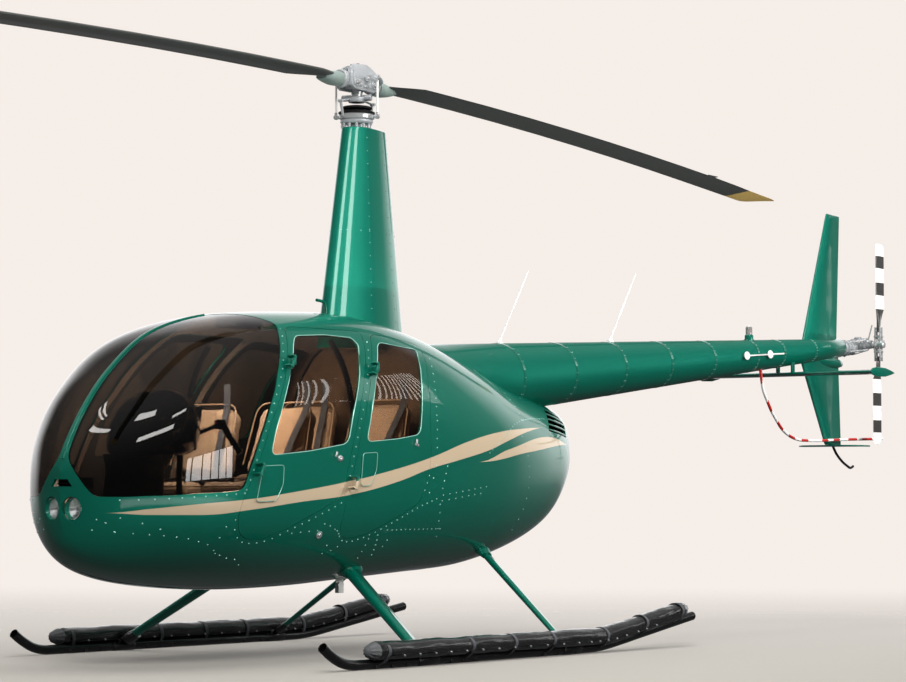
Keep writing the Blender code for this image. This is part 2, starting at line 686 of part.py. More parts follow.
engine = unite([
    box((ENGINE["rear"], -ENGINE["half"], ENGINE["low"]), (ENGINE["front"], ENGINE["half"], ENGINE["high"])),
    rod((ENGINE["front"] - 0.05, 0.2, 0.98), (REAR_FRAME - 0.02 - FIT, 0.2, 0.98), 0.02, 10),
    rod((ENGINE["front"] - 0.05, -0.2, 0.98), (REAR_FRAME - 0.02 - FIT, -0.2, 0.98), 0.02, 10),
    rod((ENGINE["front"] - 0.05, 0.2, 0.72), (REAR_FRAME - 0.02 - FIT, 0.2, 0.72), 0.02, 10),
    rod((ENGINE["front"] - 0.05, -0.2, 0.72), (REAR_FRAME - 0.02 - FIT, -0.2, 0.72), 0.02, 10),
])
engine = place(engine, "engine_block", IRON)
boolean(engine, fitForm, "INTERSECT")

for sideName, side in SIDES:
    lampY = side * LAMPS["y"]
    lamp = rod((2.262, lampY, LAMPS["z"]), (2.296, lampY, LAMPS["z"]), LAMPS["radius"] - FIT, 20)
    place(lamp, f"landing_lamp_{sideName}", LAMP)

# Mast fairing
rings = []
for z, ahead, behind, half in FAIRING:
    ring = []
    for i in range(28):
        angle = 2 * math.pi * i / 28
        c, s = math.cos(angle), math.sin(angle)
        x = ahead * c if c > 0 else behind * c
        ring.append(Vector((x, half * s * (1 if c > 0 else (1 + c * 0.35)), z)))
    rings.append(ring)
fairing = place(loft(rings), "mast_fairing", PAINT)
boolean(fairing, cutter(hullLoft(-FIT), "hull_clearance"))
boolean(fairing, coneCut)

# Rotor head
place(unite([
    rod((0, 0, FAIRING[1][0] + FIT), (0, 0, SWASH_Z - 0.022), 0.050, 20),
    rod((0, 0, SWASH_Z - 0.040), (0, 0, SWASH_Z - 0.010), 0.095, 24),
]), "swashplate_fixed", ALLOY)
upperSwash = [rod((0, 0, SWASH_Z - 0.010 + FIT), (0, 0, SWASH_Z + 0.012), 0.100, 24),
              rod((0, 0, SWASH_Z), (0, 0, SWASH_Z + 0.045), 0.075, 24)]
spinTurn = Matrix.Rotation(MAIN_AZIMUTH, 4, "Z")
for side in (1, -1):
    linkX, linkY = side * LINK[0], side * LINK[1]
    upperSwash.append(rod((0, side * 0.050, SWASH_Z), (linkX, linkY, SWASH_Z + 0.012), 0.010, 10))
    upperSwash.append(rod((linkX, linkY, SWASH_Z), (linkX, linkY, HUB_HEIGHT + 0.04), 0.006, 8))
swash = unite(upperSwash)
bmesh.ops.transform(swash, matrix=spinTurn, verts=swash.verts)
place(swash, "swashplate_turning", ALLOY)

hubParts = [
    rod((0, 0, SWASH_Z + 0.045 + FIT), (0, 0, HUB_HEIGHT + 0.05), 0.030, 16),
    box((-0.155, -0.062, HUB_HEIGHT - 0.045), (0.155, 0.062, HUB_HEIGHT + 0.045)),
    box((-0.100, -0.060, HUB_HEIGHT), (0.100, 0.060, HUB_HEIGHT + 0.110)),
    box((-0.025, -0.090, HUB_HEIGHT + 0.030), (0.025, 0.090, HUB_HEIGHT + 0.080)),
]
hub = unite(hubParts)
bmesh.ops.transform(hub, matrix=spinTurn, verts=hub.verts)
place(hub, "rotor_hub", ALLOY, (0, 0, HUB_HEIGHT))

def foil(chord, thick, sides=14):
    """Aerofoil points across the chord: x back from the leading edge third, z up."""
    points = []
    for i in range(sides):
        angle = 2 * math.pi * i / sides
        c, s = math.cos(angle), math.sin(angle)
        x = chord * (0.30 * c if c > 0 else 0.70 * c)
        taper = 1.0 if c > 0 else 1.0 + 0.75 * c
        points.append((x, thick / 2 * s * taper))
    return points


for bladeName, turned in (("fore", 0.0), ("aft", math.pi)):
    rings = []
    for radius, chord, thick in BLADE_ROWS:
        drop = MAIN_DROOP * (radius / MAIN_RADIUS) ** DROOP_POWER
        ring = []
        for x, z in foil(chord, thick):
            # the leading edge faces the way the rotor turns, seen from above anticlockwise
            ring.append(Vector((radius, x, HUB_HEIGHT + BLADE_LIFT[bladeName] - drop + z)))
        rings.append(ring)
    blade = loft(rings)
    bmesh.ops.transform(blade, matrix=Matrix.Rotation(MAIN_AZIMUTH + turned, 4, "Z"), verts=blade.verts)
    place(blade, f"main_blade_{bladeName}", BLADE, (0, 0, HUB_HEIGHT))

# Tail cone and fins
place(tube(coneRings(0.0), coneRings(-CONE_WALL)), "tail_cone", PAINT)


def finLoft(outline, rootHalf, tipHalf):
    """Fin with rounded leading edge: outline is root lead, tip lead, tip trail, root trail."""
    rings = []
    lead0, lead1, trail1, trail0 = [Vector((x, 0, z)) for x, z in outline]
    for t, half in ((0.0, rootHalf), (1.0, tipHalf)):
        lead, trail = lead0.lerp(lead1, t), trail0.lerp(trail1, t)
        ring = []
        for x, y in foil(1.0, 2 * half, 14):
            point = lead.lerp(trail, 0.30 - x)
            ring.append(point + Vector((0, y, 0)))
        rings.append(ring)
    return loft(rings)


upperFin = place(finLoft(UPPER_FIN, 0.034, 0.016), "upper_fin", PAINT)
boolean(upperFin, coneCut)
baked(upperFin)
lowerFin = place(finLoft(LOWER_FIN, 0.028, 0.020), "lower_fin", PAINT)
boolean(lowerFin, coneCut)
boolean(lowerFin, cutter(box((-6.0, -0.2, 1.86), (-4.5, 0.2, 2.4)), "fin_root_trim"))

stab = STABILIZER
stabRings = []
for y in (-stab["span"] / 2, -stab["span"] / 2 + 0.03, stab["span"] / 2 - 0.03, stab["span"] / 2):
    endScale = 0.45 if abs(abs(y) - stab["span"] / 2) < 1e-6 else 1.0
    chord = stab["lead"] - stab["trail"]
    ring = []
    for x, z in foil(chord, stab["thick"] * endScale):
        ring.append(Vector((stab["lead"] - 0.30 * chord + x, y, stab["z"] + z)))
    stabRings.append(ring)
stabilizer = unite([
    loft(stabRings),
    box((-4.97, -0.05, stab["z"]), (-4.80, 0.05, 1.90)),
])
stabilizer = place(stabilizer, "horizontal_stabilizer", PAINT)
boolean(stabilizer, coneCut)
boolean(stabilizer, cutter(box((-5.2, -0.2, 1.86), (-4.5, 0.2, 2.2)), "stabilizer_trim"))
stabCut = cutter(box((-5.07, -0.10, stab["z"] - 0.03), (-4.74, 0.10, stab["z"] + 0.03)), "stabilizer_slot")
boolean(lowerFin, stabCut)
boolean(lowerFin, cutter(box((-4.971, -0.10, 1.70), (-4.74, 0.10, 1.95)), "bracket_slot"))

plate = END_PLATE
plateLow = plate["z"] - plate["thick"] / 2
plateHigh = plate["z"] + plate["thick"] / 2
plateHalf = plate["span"] / 2
plateChord = plate["lead"] - plate["trail"]
portEdge = [(plate["lead"] - cut * plateChord, share * plateHalf) for share, cut in PLATE_EDGE]
planform = portEdge + [(x, -y) for x, y in portEdge[::-1]]
place(slab([(x, y, plateLow) for x, y in planform], (0, 0, plate["thick"])), "lower_fin_plate", PAINT)
boolean(lowerFin, cutter(box((-6.0, -0.5, 1.0), (-5.0, 0.5, plateHigh + FIT)), "fin_tip_trim"))
baked(lowerFin)

tailSkid = place(pipe([(x, 0, z) for x, z in TAIL_SKID], 0.009, 8), "tail_skid", BLACK)
boolean(tailSkid, cutter(box((-5.6, -0.1, plateLow - FIT), (-5.3, 0.1, 1.4)), "tail_skid_trim"))

guard = place(pipe([(x, GUARD_Y, z) for x, z in GUARD], GUARD_RADIUS, 8), "tail_rotor_guard", WHITE)
boolean(guard, coneCut)

# Tail rotor: gearbox behind the cone, hub and two blades to port
gear = unite([
    rod((CONE_REAR[0] - FIT, 0, CONE_REAR[1]), (-5.72, 0, CONE_REAR[1]), 0.0665, 20, 0.050),
    rod((-5.70, 0, 1.975), (-5.90, 0, 1.990), 0.055, 20, 0.045),
    rod((TAIL_HUB.x, -0.02, TAIL_HUB.z), (TAIL_HUB.x, TAIL_HUB.y - 0.045, TAIL_HUB.z), 0.035, 16),
])
place(gear, "tail_gearbox", ALLOY)
hubBits = unite([
    rod(TAIL_HUB + Vector((0, FIT - 0.045, 0)), TAIL_HUB + Vector((0, 0.045, 0)), 0.022, 16),
    box(TAIL_HUB - Vector((0.024, 0.020, 0.12)), TAIL_HUB + Vector((0.024, 0.020, 0.12))),
])
place(hubBits, "tail_rotor_hub", ALLOY, TAIL_HUB)
for bladeName, up in (("upper", 1), ("lower", -1)):
    rings = []
    for radius, chord, thick in TAIL_ROWS:
        rings.append([TAIL_HUB + Vector((up * x, z, up * radius)) for x, z in foil(chord, thick, 10)])
    place(loft(rings), f"tail_blade_{bladeName}", WHITE, TAIL_HUB)

# Beacon and whip aerials on the tail cone
beaconFoot, beaconRadius = coneSection(BEACON_X)
beaconTop = beaconFoot + Vector((0, 0, beaconRadius))
beacon = place(unite([
    rod(beaconFoot, beaconTop + Vector((0, 0, 0.045)), 0.034, 16),
    rod(beaconTop + Vector((0, 0, 0.030)), beaconTop + Vector((0, 0, 0.105)), 0.024, 16),
]), "beacon", RED)
boolean(beacon, coneCut)
for aerialName, x in AERIALS.items():
    foot, radius = coneSection(x)
    aerial = place(unite([
        rod(foot, foot + Vector((0, 0, radius + 0.012)), 0.016, 10),
        rod(foot + Vector((0, 0, radius)), foot + Vector((-0.30, 0, radius + 0.46)), 0.005, 8, 0.003),
    ]), f"whip_aerial_{aerialName}", WHITE)
    boolean(aerial, coneCut)

# Landing gear
hullFit = cutter(hullLoft(-FIT), "hull_clearance_2")


def legLoft(leg, top, foot, along, extra):
    """Oval leg between two points, its long axis fore and aft."""
    rings = []
    for spot, wide, narrow in ((top, 0.55, 0.28), (foot, 0.42, 0.22)):
        rings.append(ringAlong(spot, along, leg["chord"] * wide + extra, leg["chord"] * narrow + extra, 14,
                               Vector((1, 0, 0))))
    return loft(rings)


for sideName, side in SIDES:
    skidY = side * SKID_TREAD / 2
    place(pipe([(x, skidY, z) for x, z in SKID_PATH], SKID_RADIUS, 12), f"skid_{sideName}", BLACK)
    rings = []
    for x, rise in BAG_PATH:
        center = Vector((x, skidY + side * 0.030, BAG_HEIGHT + rise))
        rings.append(ringAlong(center, Vector((1, 0, 0)), BAG_RADIUS, BAG_RADIUS * 0.86, 14))
    bag = place(loft(rings), f"float_bag_{sideName}", FABRIC)
    clearance = pipe([(x, skidY, z) for x, z in SKID_PATH], SKID_RADIUS + FIT, 12)
    skidCut = cutter(clearance, f"skid_clearance_{sideName}")
    boolean(bag, skidCut)
    for legName, leg in LEGS.items():
        top = Vector(leg["top"])
        foot = Vector(leg["foot"])
        top.y *= side
        foot.y *= side
        along = (foot - top).normalized()
        strut = place(legLoft(leg, top, foot, along, 0.0), f"{legName}_leg_{sideName}", PAINT)
        boolean(strut, hullFit)
        boolean(strut, skidCut)
        baked(strut)
        legHole = legLoft(leg, top, foot + along * 0.05, along, FIT)
        boolean(bag, cutter(legHole, f"{legName}_{sideName}_leg_hole"))
    baked(bag)
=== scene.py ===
import json
import math

import bmesh
import bpy
from mathutils import Matrix, Vector, noise
from mathutils.bvhtree import BVHTree

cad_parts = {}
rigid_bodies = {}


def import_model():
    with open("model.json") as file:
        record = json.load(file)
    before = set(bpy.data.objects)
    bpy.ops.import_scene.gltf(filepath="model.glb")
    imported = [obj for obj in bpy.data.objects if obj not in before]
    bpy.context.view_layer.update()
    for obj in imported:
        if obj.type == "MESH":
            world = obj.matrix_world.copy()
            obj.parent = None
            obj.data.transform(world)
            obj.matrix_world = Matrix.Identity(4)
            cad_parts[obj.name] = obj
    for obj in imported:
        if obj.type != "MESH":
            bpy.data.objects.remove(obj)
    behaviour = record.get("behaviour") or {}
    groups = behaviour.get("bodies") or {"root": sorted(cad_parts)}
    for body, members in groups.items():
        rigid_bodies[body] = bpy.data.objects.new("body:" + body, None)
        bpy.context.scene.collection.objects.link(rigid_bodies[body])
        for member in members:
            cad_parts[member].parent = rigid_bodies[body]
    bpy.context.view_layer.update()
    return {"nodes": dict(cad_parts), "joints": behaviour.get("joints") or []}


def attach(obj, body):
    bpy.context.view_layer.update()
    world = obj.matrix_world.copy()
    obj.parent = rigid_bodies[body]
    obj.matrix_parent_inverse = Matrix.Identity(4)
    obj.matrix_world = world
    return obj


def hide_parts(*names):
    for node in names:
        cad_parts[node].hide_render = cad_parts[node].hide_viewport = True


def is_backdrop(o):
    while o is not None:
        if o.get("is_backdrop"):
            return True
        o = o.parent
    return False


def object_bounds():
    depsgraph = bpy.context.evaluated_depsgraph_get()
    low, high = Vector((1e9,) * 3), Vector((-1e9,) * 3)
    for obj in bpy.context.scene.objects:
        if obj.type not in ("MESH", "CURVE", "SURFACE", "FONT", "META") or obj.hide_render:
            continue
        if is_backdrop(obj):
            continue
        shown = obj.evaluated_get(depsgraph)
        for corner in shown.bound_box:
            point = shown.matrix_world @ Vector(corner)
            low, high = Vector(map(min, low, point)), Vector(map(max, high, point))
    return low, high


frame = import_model()
scene = bpy.context.scene
nodes = frame["nodes"]
mastX = [j for j in frame["joints"] if j["name"] == "main_rotor_spin"][0]["pos_m"][0]
print("frame loaded, mast at", round(mastX, 4))

# All places below are measured from the mast axis on the ground; makePiece moves them by mastX.
alongX, alongY, alongZ = Vector((1, 0, 0)), Vector((0, 1, 0)), Vector((0, 0, 1))
bothSides = (("left", 1), ("right", -1))


# Small helpers
def paintColor(hexText):
    parts = [int(hexText[i:i + 2], 16) / 255 for i in (1, 3, 5)]
    return tuple(p / 12.92 if p <= 0.04045 else ((p + 0.055) / 1.055) ** 2.4 for p in parts) + (1.0,)


def addNode(tree, kind, settings=None, links=None):
    made = tree.nodes.new("ShaderNode" + kind)
    for key, value in (settings or {}).items():
        if isinstance(key, int) or key in made.inputs:
            made.inputs[key].default_value = value
        else:
            setattr(made, key, value)
    for key, source in (links or {}).items():
        tree.links.new(source, made.inputs[key])
    return made


def newFinish(name, color, roughness, settings=None):
    made = bpy.data.materials.new(name)
    made.use_nodes = True
    shader = made.node_tree.nodes["Principled BSDF"]
    shader.inputs["Base Color"].default_value = paintColor(color)
    shader.inputs["Roughness"].default_value = roughness
    for key, value in (settings or {}).items():
        shader.inputs[key].default_value = value
    return made, made.node_tree, shader


def grainOn(made, scale, strength, depth, mottle=0.0, detail=4.0, stretch=(1, 1, 1)):
    # fine bump, and a little colour mottle, from noise over the piece's own coordinates in metres
    tree = made.node_tree
    shader = tree.nodes["Principled BSDF"]
    place = addNode(tree, "TexCoord")
    sized = addNode(tree, "Mapping", {"Scale": stretch}, {"Vector": place.outputs["Object"]})
    grain = addNode(tree, "TexNoise", {"Scale": scale, "Detail": detail}, {"Vector": sized.outputs[0]})
    bump = addNode(tree, "Bump", {"Strength": strength, "Distance": depth},
        {"Height": grain.outputs["Fac"]})
    tree.links.new(bump.outputs[0], shader.inputs["Normal"])
    if mottle:
        color = tuple(shader.inputs["Base Color"].default_value)
        broad = addNode(tree, "TexNoise", {"Scale": scale / 12, "Detail": 5.0},
            {"Vector": sized.outputs[0]})
        light = tuple(min(1, c * (1 + mottle)) for c in color[:3]) + (1,)
        dark = tuple(c * (1 - mottle) for c in color[:3]) + (1,)
        mixed = addNode(tree, "Mix", {"data_type": "RGBA", 6: dark, 7: light}, {0: broad.outputs["Fac"]})
        tree.links.new(mixed.outputs[2], shader.inputs["Base Color"])
    return made


def makePiece(bm, name, finishes, stands=(), body="airframe", angle=35, flip=True):
    if flip:
        bmesh.ops.recalc_face_normals(bm, faces=bm.faces)
    bmesh.ops.translate(bm, verts=bm.verts, vec=(mastX, 0, 0))
    mesh = bpy.data.meshes.new(name)
    bm.to_mesh(mesh)
    bm.free()
    piece = bpy.data.objects.new(name, mesh)
    scene.collection.objects.link(piece)
    for finish in finishes if isinstance(finishes, (list, tuple)) else [finishes]:
        mesh.materials.append(finish)
    mesh.shade_smooth()
    mesh.set_sharp_from_angle(angle=math.radians(angle))
    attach(piece, body)
    if stands:
        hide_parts(*stands)
    return piece


def addRings(bm, rings, caps=True, closed=False):
    # one circle for each ring of points, moved to them, and bridged in turn
    loops = []
    for ring in rings:
        made = bmesh.ops.create_circle(bm, segments=len(ring), radius=1)["verts"]
        for vert, point in zip(made, ring):
            vert.co = point
        loops.append([e for v in made for e in v.link_edges if e.verts[0] is v])
    pairs = list(zip(loops, loops[1:] + loops[:1]))
    for first, second in pairs if closed else pairs[:-1]:
        bmesh.ops.bridge_loops(bm, edges=first + second)
    if caps and not closed:
        for loop in (loops[0], loops[-1]):
            bmesh.ops.edgeloop_fill(bm, edges=loop)
    return bm


def circlePoints(count):
    # cosine and sine of evenly spaced angles, the first one half a step round
    angles = [2 * math.pi * (i + 0.5) / count for i in range(count)]
    return [(math.cos(angle), math.sin(angle)) for angle in angles]


def ovalRing(center, tangent, wide, high, sides, sideways=alongY, square=2.0):
    tangent = Vector(tangent).normalized()
    across = (sideways - tangent * tangent.dot(sideways)).normalized()
    up = tangent.cross(across)
    ring = []
    for c, s in circlePoints(sides):
        c = math.copysign(abs(c) ** (2 / square), c)
        s = math.copysign(abs(s) ** (2 / square), s)
        ring.append(Vector(center) + across * wide * c + up * high * s)
    return ring


def pathRings(points, radius, sides, sideways=alongY, flat=1.0):
    points = [Vector(p) for p in points]
    rings = []
    for i, point in enumerate(points):
        along = points[min(i + 1, len(points) - 1)] - points[max(i - 1, 0)]
        size = radius[i] if isinstance(radius, (list, tuple)) else radius
        rings.append(ovalRing(point, along, size, size * flat, sides, sideways))
    return rings


def addTube(bm, points, radius, sides, sideways=alongY, flat=1.0):
    return addRings(bm, pathRings(points, radius, sides, sideways, flat))


def curved(points, steps):
    # points on a smooth curve through the given ones
    points = [Vector(p) for p in points]
    made = []
    for i in range(len(points) - 1):
        a, b = points[max(i - 1, 0)], points[i]
        c, d = points[i + 1], points[min(i + 2, len(points) - 1)]
        for k in range(steps):
            t = k / steps
            made.append(0.5 * (2 * b + (c - a) * t + (2 * a - 5 * b + 4 * c - d) * t * t
                + (3 * b - a - 3 * c + d) * t ** 3))
    return made + [points[-1]]


def bevelEdges(bm, edges, offset, segments=2):
    bmesh.ops.bevel(bm, geom=edges, offset=offset, segments=segments, affect="EDGES", profile=0.5,
        material=-1)


def edgesOf(verts):
    # each edge once, in the order of the vertices
    return list(dict.fromkeys(e for v in verts for e in v.link_edges))


def addRod(bm, start, end, radius, sides=24, endRadius=None, bevel=0.0):
    start, end = Vector(start), Vector(end)
    along = end - start
    turn = along.to_track_quat("Z", "Y").to_matrix().to_4x4()
    made = bmesh.ops.create_cone(bm, cap_ends=True, segments=sides, radius1=radius,
        radius2=radius if endRadius is None else endRadius, depth=along.length,
        matrix=Matrix.Translation((start + end) / 2) @ turn)["verts"]
    if bevel:
        bevelEdges(bm, [e for e in edgesOf(made) if e.calc_face_angle(0) > 1.0], bevel)
    return bm


def addPin(bm, middle, half, radius, sides=24, bevel=0.0):
    return addRod(bm, middle - half, middle + half, radius, sides, bevel=bevel)


def addBox(bm, low, high, bevel=0.0, turn=None):
    size, middle = Vector(high) - Vector(low), (Vector(high) + Vector(low)) / 2
    place = Matrix.Translation(middle) @ (turn.to_4x4() if turn else Matrix())
    made = bmesh.ops.create_cube(bm, size=1.0, matrix=place @ Matrix.Diagonal((*size, 1)))["verts"]
    if bevel:
        bevelEdges(bm, edgesOf(made), bevel)
    return bm


def addSlab(bm, outline, push, bevel=0.0):
    face = bm.faces.new([bm.verts.new(p) for p in outline])
    made = bmesh.ops.extrude_face_region(bm, geom=[face])["geom"]
    moved = [item for item in made if isinstance(item, bmesh.types.BMVert)]
    bmesh.ops.translate(bm, verts=moved, vec=push)
    if bevel:
        bevelEdges(bm, [e for e in edgesOf(moved) if all(v in moved for v in e.verts)], bevel)
    return bm


def addLathe(bm, profile, center=(0, 0, 0), axis=(0, 0, 1), steps=32):
    # profile points are (distance along the axis, radius)
    axis = Vector(axis).normalized()
    side = axis.orthogonal().normalized()
    center = Vector(center)
    verts = [bm.verts.new(center + axis * along + side * radius) for along, radius in profile]
    edges = [bm.edges.new(pair) for pair in zip(verts, verts[1:])]
    bmesh.ops.spin(bm, geom=verts + edges, cent=center, axis=axis, angle=2 * math.pi, steps=steps,
        use_merge=True)
    bmesh.ops.remove_doubles(bm, verts=bm.verts, dist=0.00002)
    return bm


def mirrored(bm):
    other = bm.copy()
    bmesh.ops.scale(other, verts=other.verts, vec=(1, -1, 1))
    bmesh.ops.reverse_faces(other, faces=other.faces)
    return other


# Finishes
stripeUpper = [(2.256, 0.785), (2.11, 0.806), (1.894, 0.831), (1.605, 0.856), (1.234, 0.898),
    (0.827, 0.952), (0.399, 1.025), (0.125, 1.083), (-0.281, 1.184), (-0.648, 1.243), (-0.941, 1.267),
    (-1.369, 1.284)]
stripeLower = [(2.256, 0.785), (2.106, 0.776), (1.886, 0.776), (1.596, 0.801), (1.229, 0.841),
    (0.824, 0.879), (0.398, 0.955), (0.125, 1.023), (-0.167, 1.076), (-0.502, 1.137), (-0.767, 1.199),
    (-1.093, 1.259), (-1.369, 1.284)]
wedgeUpper = [(-0.338, 1.067), (-0.754, 1.147), (-1.41, 1.231), (-1.823, 1.191)]
wedgeLower = [(-0.338, 1.067), (-1.038, 1.134), (-1.823, 1.191)]


def stripeMask(tree, place, upper, lower):
    # 1 where the height lies between two curves drawn over x, soft over half a millimetre
    low, high = -2.0, 2.4
    split = addNode(tree, "SeparateXYZ", links={0: place})
    across = addNode(tree, "MapRange", {"From Min": low + mastX, "From Max": high + mastX},
        {"Value": split.outputs["X"]})
    heights = []
    for points in (upper, lower):
        made = addNode(tree, "FloatCurve", links={"Value": across.outputs[0]})
        line = made.mapping.curves[0]
        places = sorted(((x - low) / (high - low), z / 2) for x, z in points)
        places = [(0.0, places[0][1])] + places + [(1.0, places[-1][1])]
        while len(line.points) < len(places):
            line.points.new(0.5, 0.5)
        for point, spot in zip(line.points, places):
            point.location = spot
            point.handle_type = "AUTO_CLAMPED" if 0 < spot[0] < 1 else "VECTOR"
        made.mapping.update()
        heights.append(addNode(tree, "Math", {"operation": "MULTIPLY", 1: 2.0},
            {0: made.outputs[0]}).outputs[0])
    top = addNode(tree, "Math", {"operation": "SUBTRACT"}, {0: heights[0], 1: split.outputs["Z"]})
    foot = addNode(tree, "Math", {"operation": "SUBTRACT"}, {0: split.outputs["Z"], 1: heights[1]})
    least = addNode(tree, "Math", {"operation": "MINIMUM"}, {0: top.outputs[0], 1: foot.outputs[0]})
    return addNode(tree, "MapRange", {"From Min": 0.0, "From Max": 0.0006},
        {"Value": least.outputs[0]}).outputs[0]


def greenEnamel():
    # metallic green base coat under clear lacquer, sprayed and polished: deep green face on, bright sheen
    # where it turns, sharp reflections from the lacquer, and the stripe masked off in a flat tan
    made, tree, shader = newFinish("metallic_green_enamel", "#007A63", 0.4,
        {"Metallic": 0.6, "Coat Weight": 1.0, "Coat Roughness": 0.03, "Coat IOR": 1.5})
    place = addNode(tree, "TexCoord")
    pairs = ((stripeUpper, stripeLower), (wedgeUpper, wedgeLower))
    masks = [stripeMask(tree, place.outputs["Object"], upper, lower) for upper, lower in pairs]
    both = addNode(tree, "Math", {"operation": "MAXIMUM"}, {0: masks[0], 1: masks[1]})
    # metal flake, about 0.4 mm, drawn at 2 mm so that it shows at all
    flake = addNode(tree, "TexNoise", {"Scale": 500.0, "Detail": 2.0},
        {"Vector": place.outputs["Object"]})
    tone = addNode(tree, "Mix", {"data_type": "RGBA", 6: paintColor("#006B57"),
        7: paintColor("#00886F")}, {0: flake.outputs["Fac"]})
    color = addNode(tree, "Mix", {"data_type": "RGBA", 7: paintColor("#BDA98D")},
        {0: both.outputs[0], 6: tone.outputs[2]})
    metal = addNode(tree, "Math", {"operation": "MULTIPLY_ADD", 1: -0.6, 2: 0.6}, {0: both.outputs[0]})
    tree.links.new(color.outputs[2], shader.inputs["Base Color"])
    tree.links.new(metal.outputs[0], shader.inputs["Metallic"])
    # the lacquer's orange peel: swells about 4 mm apart and a few hundredths high
    peel = addNode(tree, "TexNoise", {"Scale": 160.0, "Detail": 1.0},
        {"Vector": place.outputs["Object"]})
    swell = addNode(tree, "Bump", {"Strength": 0.12, "Distance": 0.0004},
        {"Height": peel.outputs["Fac"]})
    tree.links.new(swell.outputs[0], shader.inputs["Coat Normal"])
    return made


def tintedPane(name, tint):
    # cast acrylic, tinted: a mirror-like face that reflects more at a slant, and darkens what is behind it
    made, tree, shader = newFinish(name, "#FFFFFF", 0.015, {"Metallic": 1.0})
    clear = addNode(tree, "BsdfTransparent", {"Color": paintColor(tint)})
    # a twenty-fifth face on and all of it edge on, the same from inside and outside
    slant = addNode(tree, "LayerWeight", {"Blend": 0.5})
    steep = addNode(tree, "Math", {"operation": "POWER", 1: 5.0}, {0: slant.outputs["Facing"]})
    gloss = addNode(tree, "Math", {"operation": "MULTIPLY_ADD", 1: 0.96, 2: 0.04}, {0: steep.outputs[0]})
    mixed = addNode(tree, "MixShader", links={0: gloss.outputs[0], 1: clear.outputs[0],
        2: shader.outputs[0]})
    tree.links.new(mixed.outputs[0], tree.nodes["Material Output"].inputs["Surface"])
    return made


def bandedPaint(name, axis, origin, bands, colors):
    # gloss enamel sprayed in bands along one axis: each band is (from distance, colour)
    made, tree, shader = newFinish(name, colors[0], 0.3, {"Coat Weight": 0.6, "Coat Roughness": 0.08})
    place = addNode(tree, "TexCoord")
    split = addNode(tree, "SeparateXYZ", links={0: place.outputs["Object"]})
    away = addNode(tree, "Math", {"operation": "SUBTRACT", 1: origin}, {0: split.outputs[axis]})
    size = addNode(tree, "Math", {"operation": "ABSOLUTE"}, {0: away.outputs[0]})
    ramp = addNode(tree, "ValToRGB", links={0: size.outputs[0]})
    ramp.color_ramp.interpolation = "CONSTANT"
    stops = ramp.color_ramp.elements
    while len(stops) < len(bands):
        stops.new(1.0)
    for stop, (start, which) in zip(stops, bands):
        stop.position = start
    for stop, (start, which) in zip(stops, bands):
        stop.color = paintColor(colors[which])
    tree.links.new(ramp.outputs[0], shader.inputs["Base Color"])
    return made


green = greenEnamel()
# rivet heads and trim beads in a pale green under the same lacquer: the pale colour is a painted highlight,
# standing in for the glints they catch
paleHighlightPaint = newFinish("enamelled_rivet", "#A9E8D8", 0.22, {"Metallic": 0.35, "Coat Weight": 1.0})[0]
screenPane = tintedPane("smoked_acrylic_screen", "#9C9690")
windowPane = tintedPane("smoked_acrylic_window", "#AFA59B")

# In grainOn the first number is grains in a metre, so 900 is one each 1.1 mm. Finer grain than about
# 1 mm is drawn at 1 mm or more, so that it shows.
# moulded ABS, grained, satin
blackPlastic = grainOn(newFinish("black_moulded_abs", "#121212", 0.42)[0], 900, 0.25, 0.0006, 0.2)
# lacquered instrument cowl: hard gloss black
glossBlack = grainOn(newFinish("black_lacquered_shell", "#0A0A0A", 0.12, {"Coat Weight": 1.0})[0], 60,
    0.03, 0.0005)
# top-grain leather: pebble about 1.5 mm, tan, mottled a little lighter and darker
leather = grainOn(newFinish("tan_leather", "#AE9275", 0.52, {"Sheen Weight": 0.15})[0], 620, 0.5, 0.0012,
    0.14)
# knitted headliner on foam
liner = grainOn(newFinish("tan_headliner_cloth", "#6C5743", 0.9, {"Sheen Weight": 0.3})[0], 1500, 0.3,
    0.0008, 0.1)
# tufted nylon carpet, grey-black
carpet = grainOn(newFinish("grey_tufted_carpet", "#2B2A28", 0.95, {"Sheen Weight": 0.4})[0], 700, 0.9,
    0.003, 0.35)
# woven polyester belt
webbing = grainOn(newFinish("grey_belt_webbing", "#4B4C4F", 0.7)[0], 900, 0.6, 0.0008, 0.15,
    stretch=(1, 1, 6))
# bead-blasted aluminium castings, and ground bright steel
castAlloy = grainOn(newFinish("bead_blasted_aluminium", "#C4C7C9", 0.36, {"Metallic": 0.55})[0], 1200,
    0.25, 0.0006, 0.12)
brightSteel = grainOn(newFinish("ground_steel", "#DCDDDD", 0.18, {"Metallic": 0.7})[0], 400, 0.08,
    0.0003, 0.08)
darkSteel = grainOn(newFinish("phosphated_steel", "#3A3A3C", 0.4, {"Metallic": 0.9})[0], 700, 0.2,
    0.0005, 0.2)
# epoxy blade paint, matt charcoal, chalky along the span
bladePaint = grainOn(newFinish("charcoal_epoxy_paint", "#40413F", 0.6)[0], 500, 0.2, 0.0005, 0.15)
# the same paint on the tips, in a warm ochre, a little smoother
goldPaint = grainOn(newFinish("ochre_tip_paint", "#C9A75E", 0.42)[0], 500, 0.15, 0.0004, 0.1)
# chlorinated rubber on cloth: soft sheen, creased
bagCloth = grainOn(newFinish("rubber_coated_cloth", "#171717", 0.26,
    {"Coat Weight": 0.9, "Coat Roughness": 0.1})[0], 90, 0.6, 0.006, 0.3, 6)
# the same cloth gathered at the bag's ends, where wear shows the grey base cloth
bagEnd = grainOn(newFinish("gathered_coated_cloth", "#58595A", 0.4)[0], 120, 0.8, 0.006, 0.4, 6)
# epoxy on aluminium tube: dark, with a soft streak of light
skidBlack = grainOn(newFinish("black_epoxy_tube", "#0E0E0E", 0.3, {"Coat Weight": 0.5})[0], 300, 0.15,
    0.0005, 0.3)
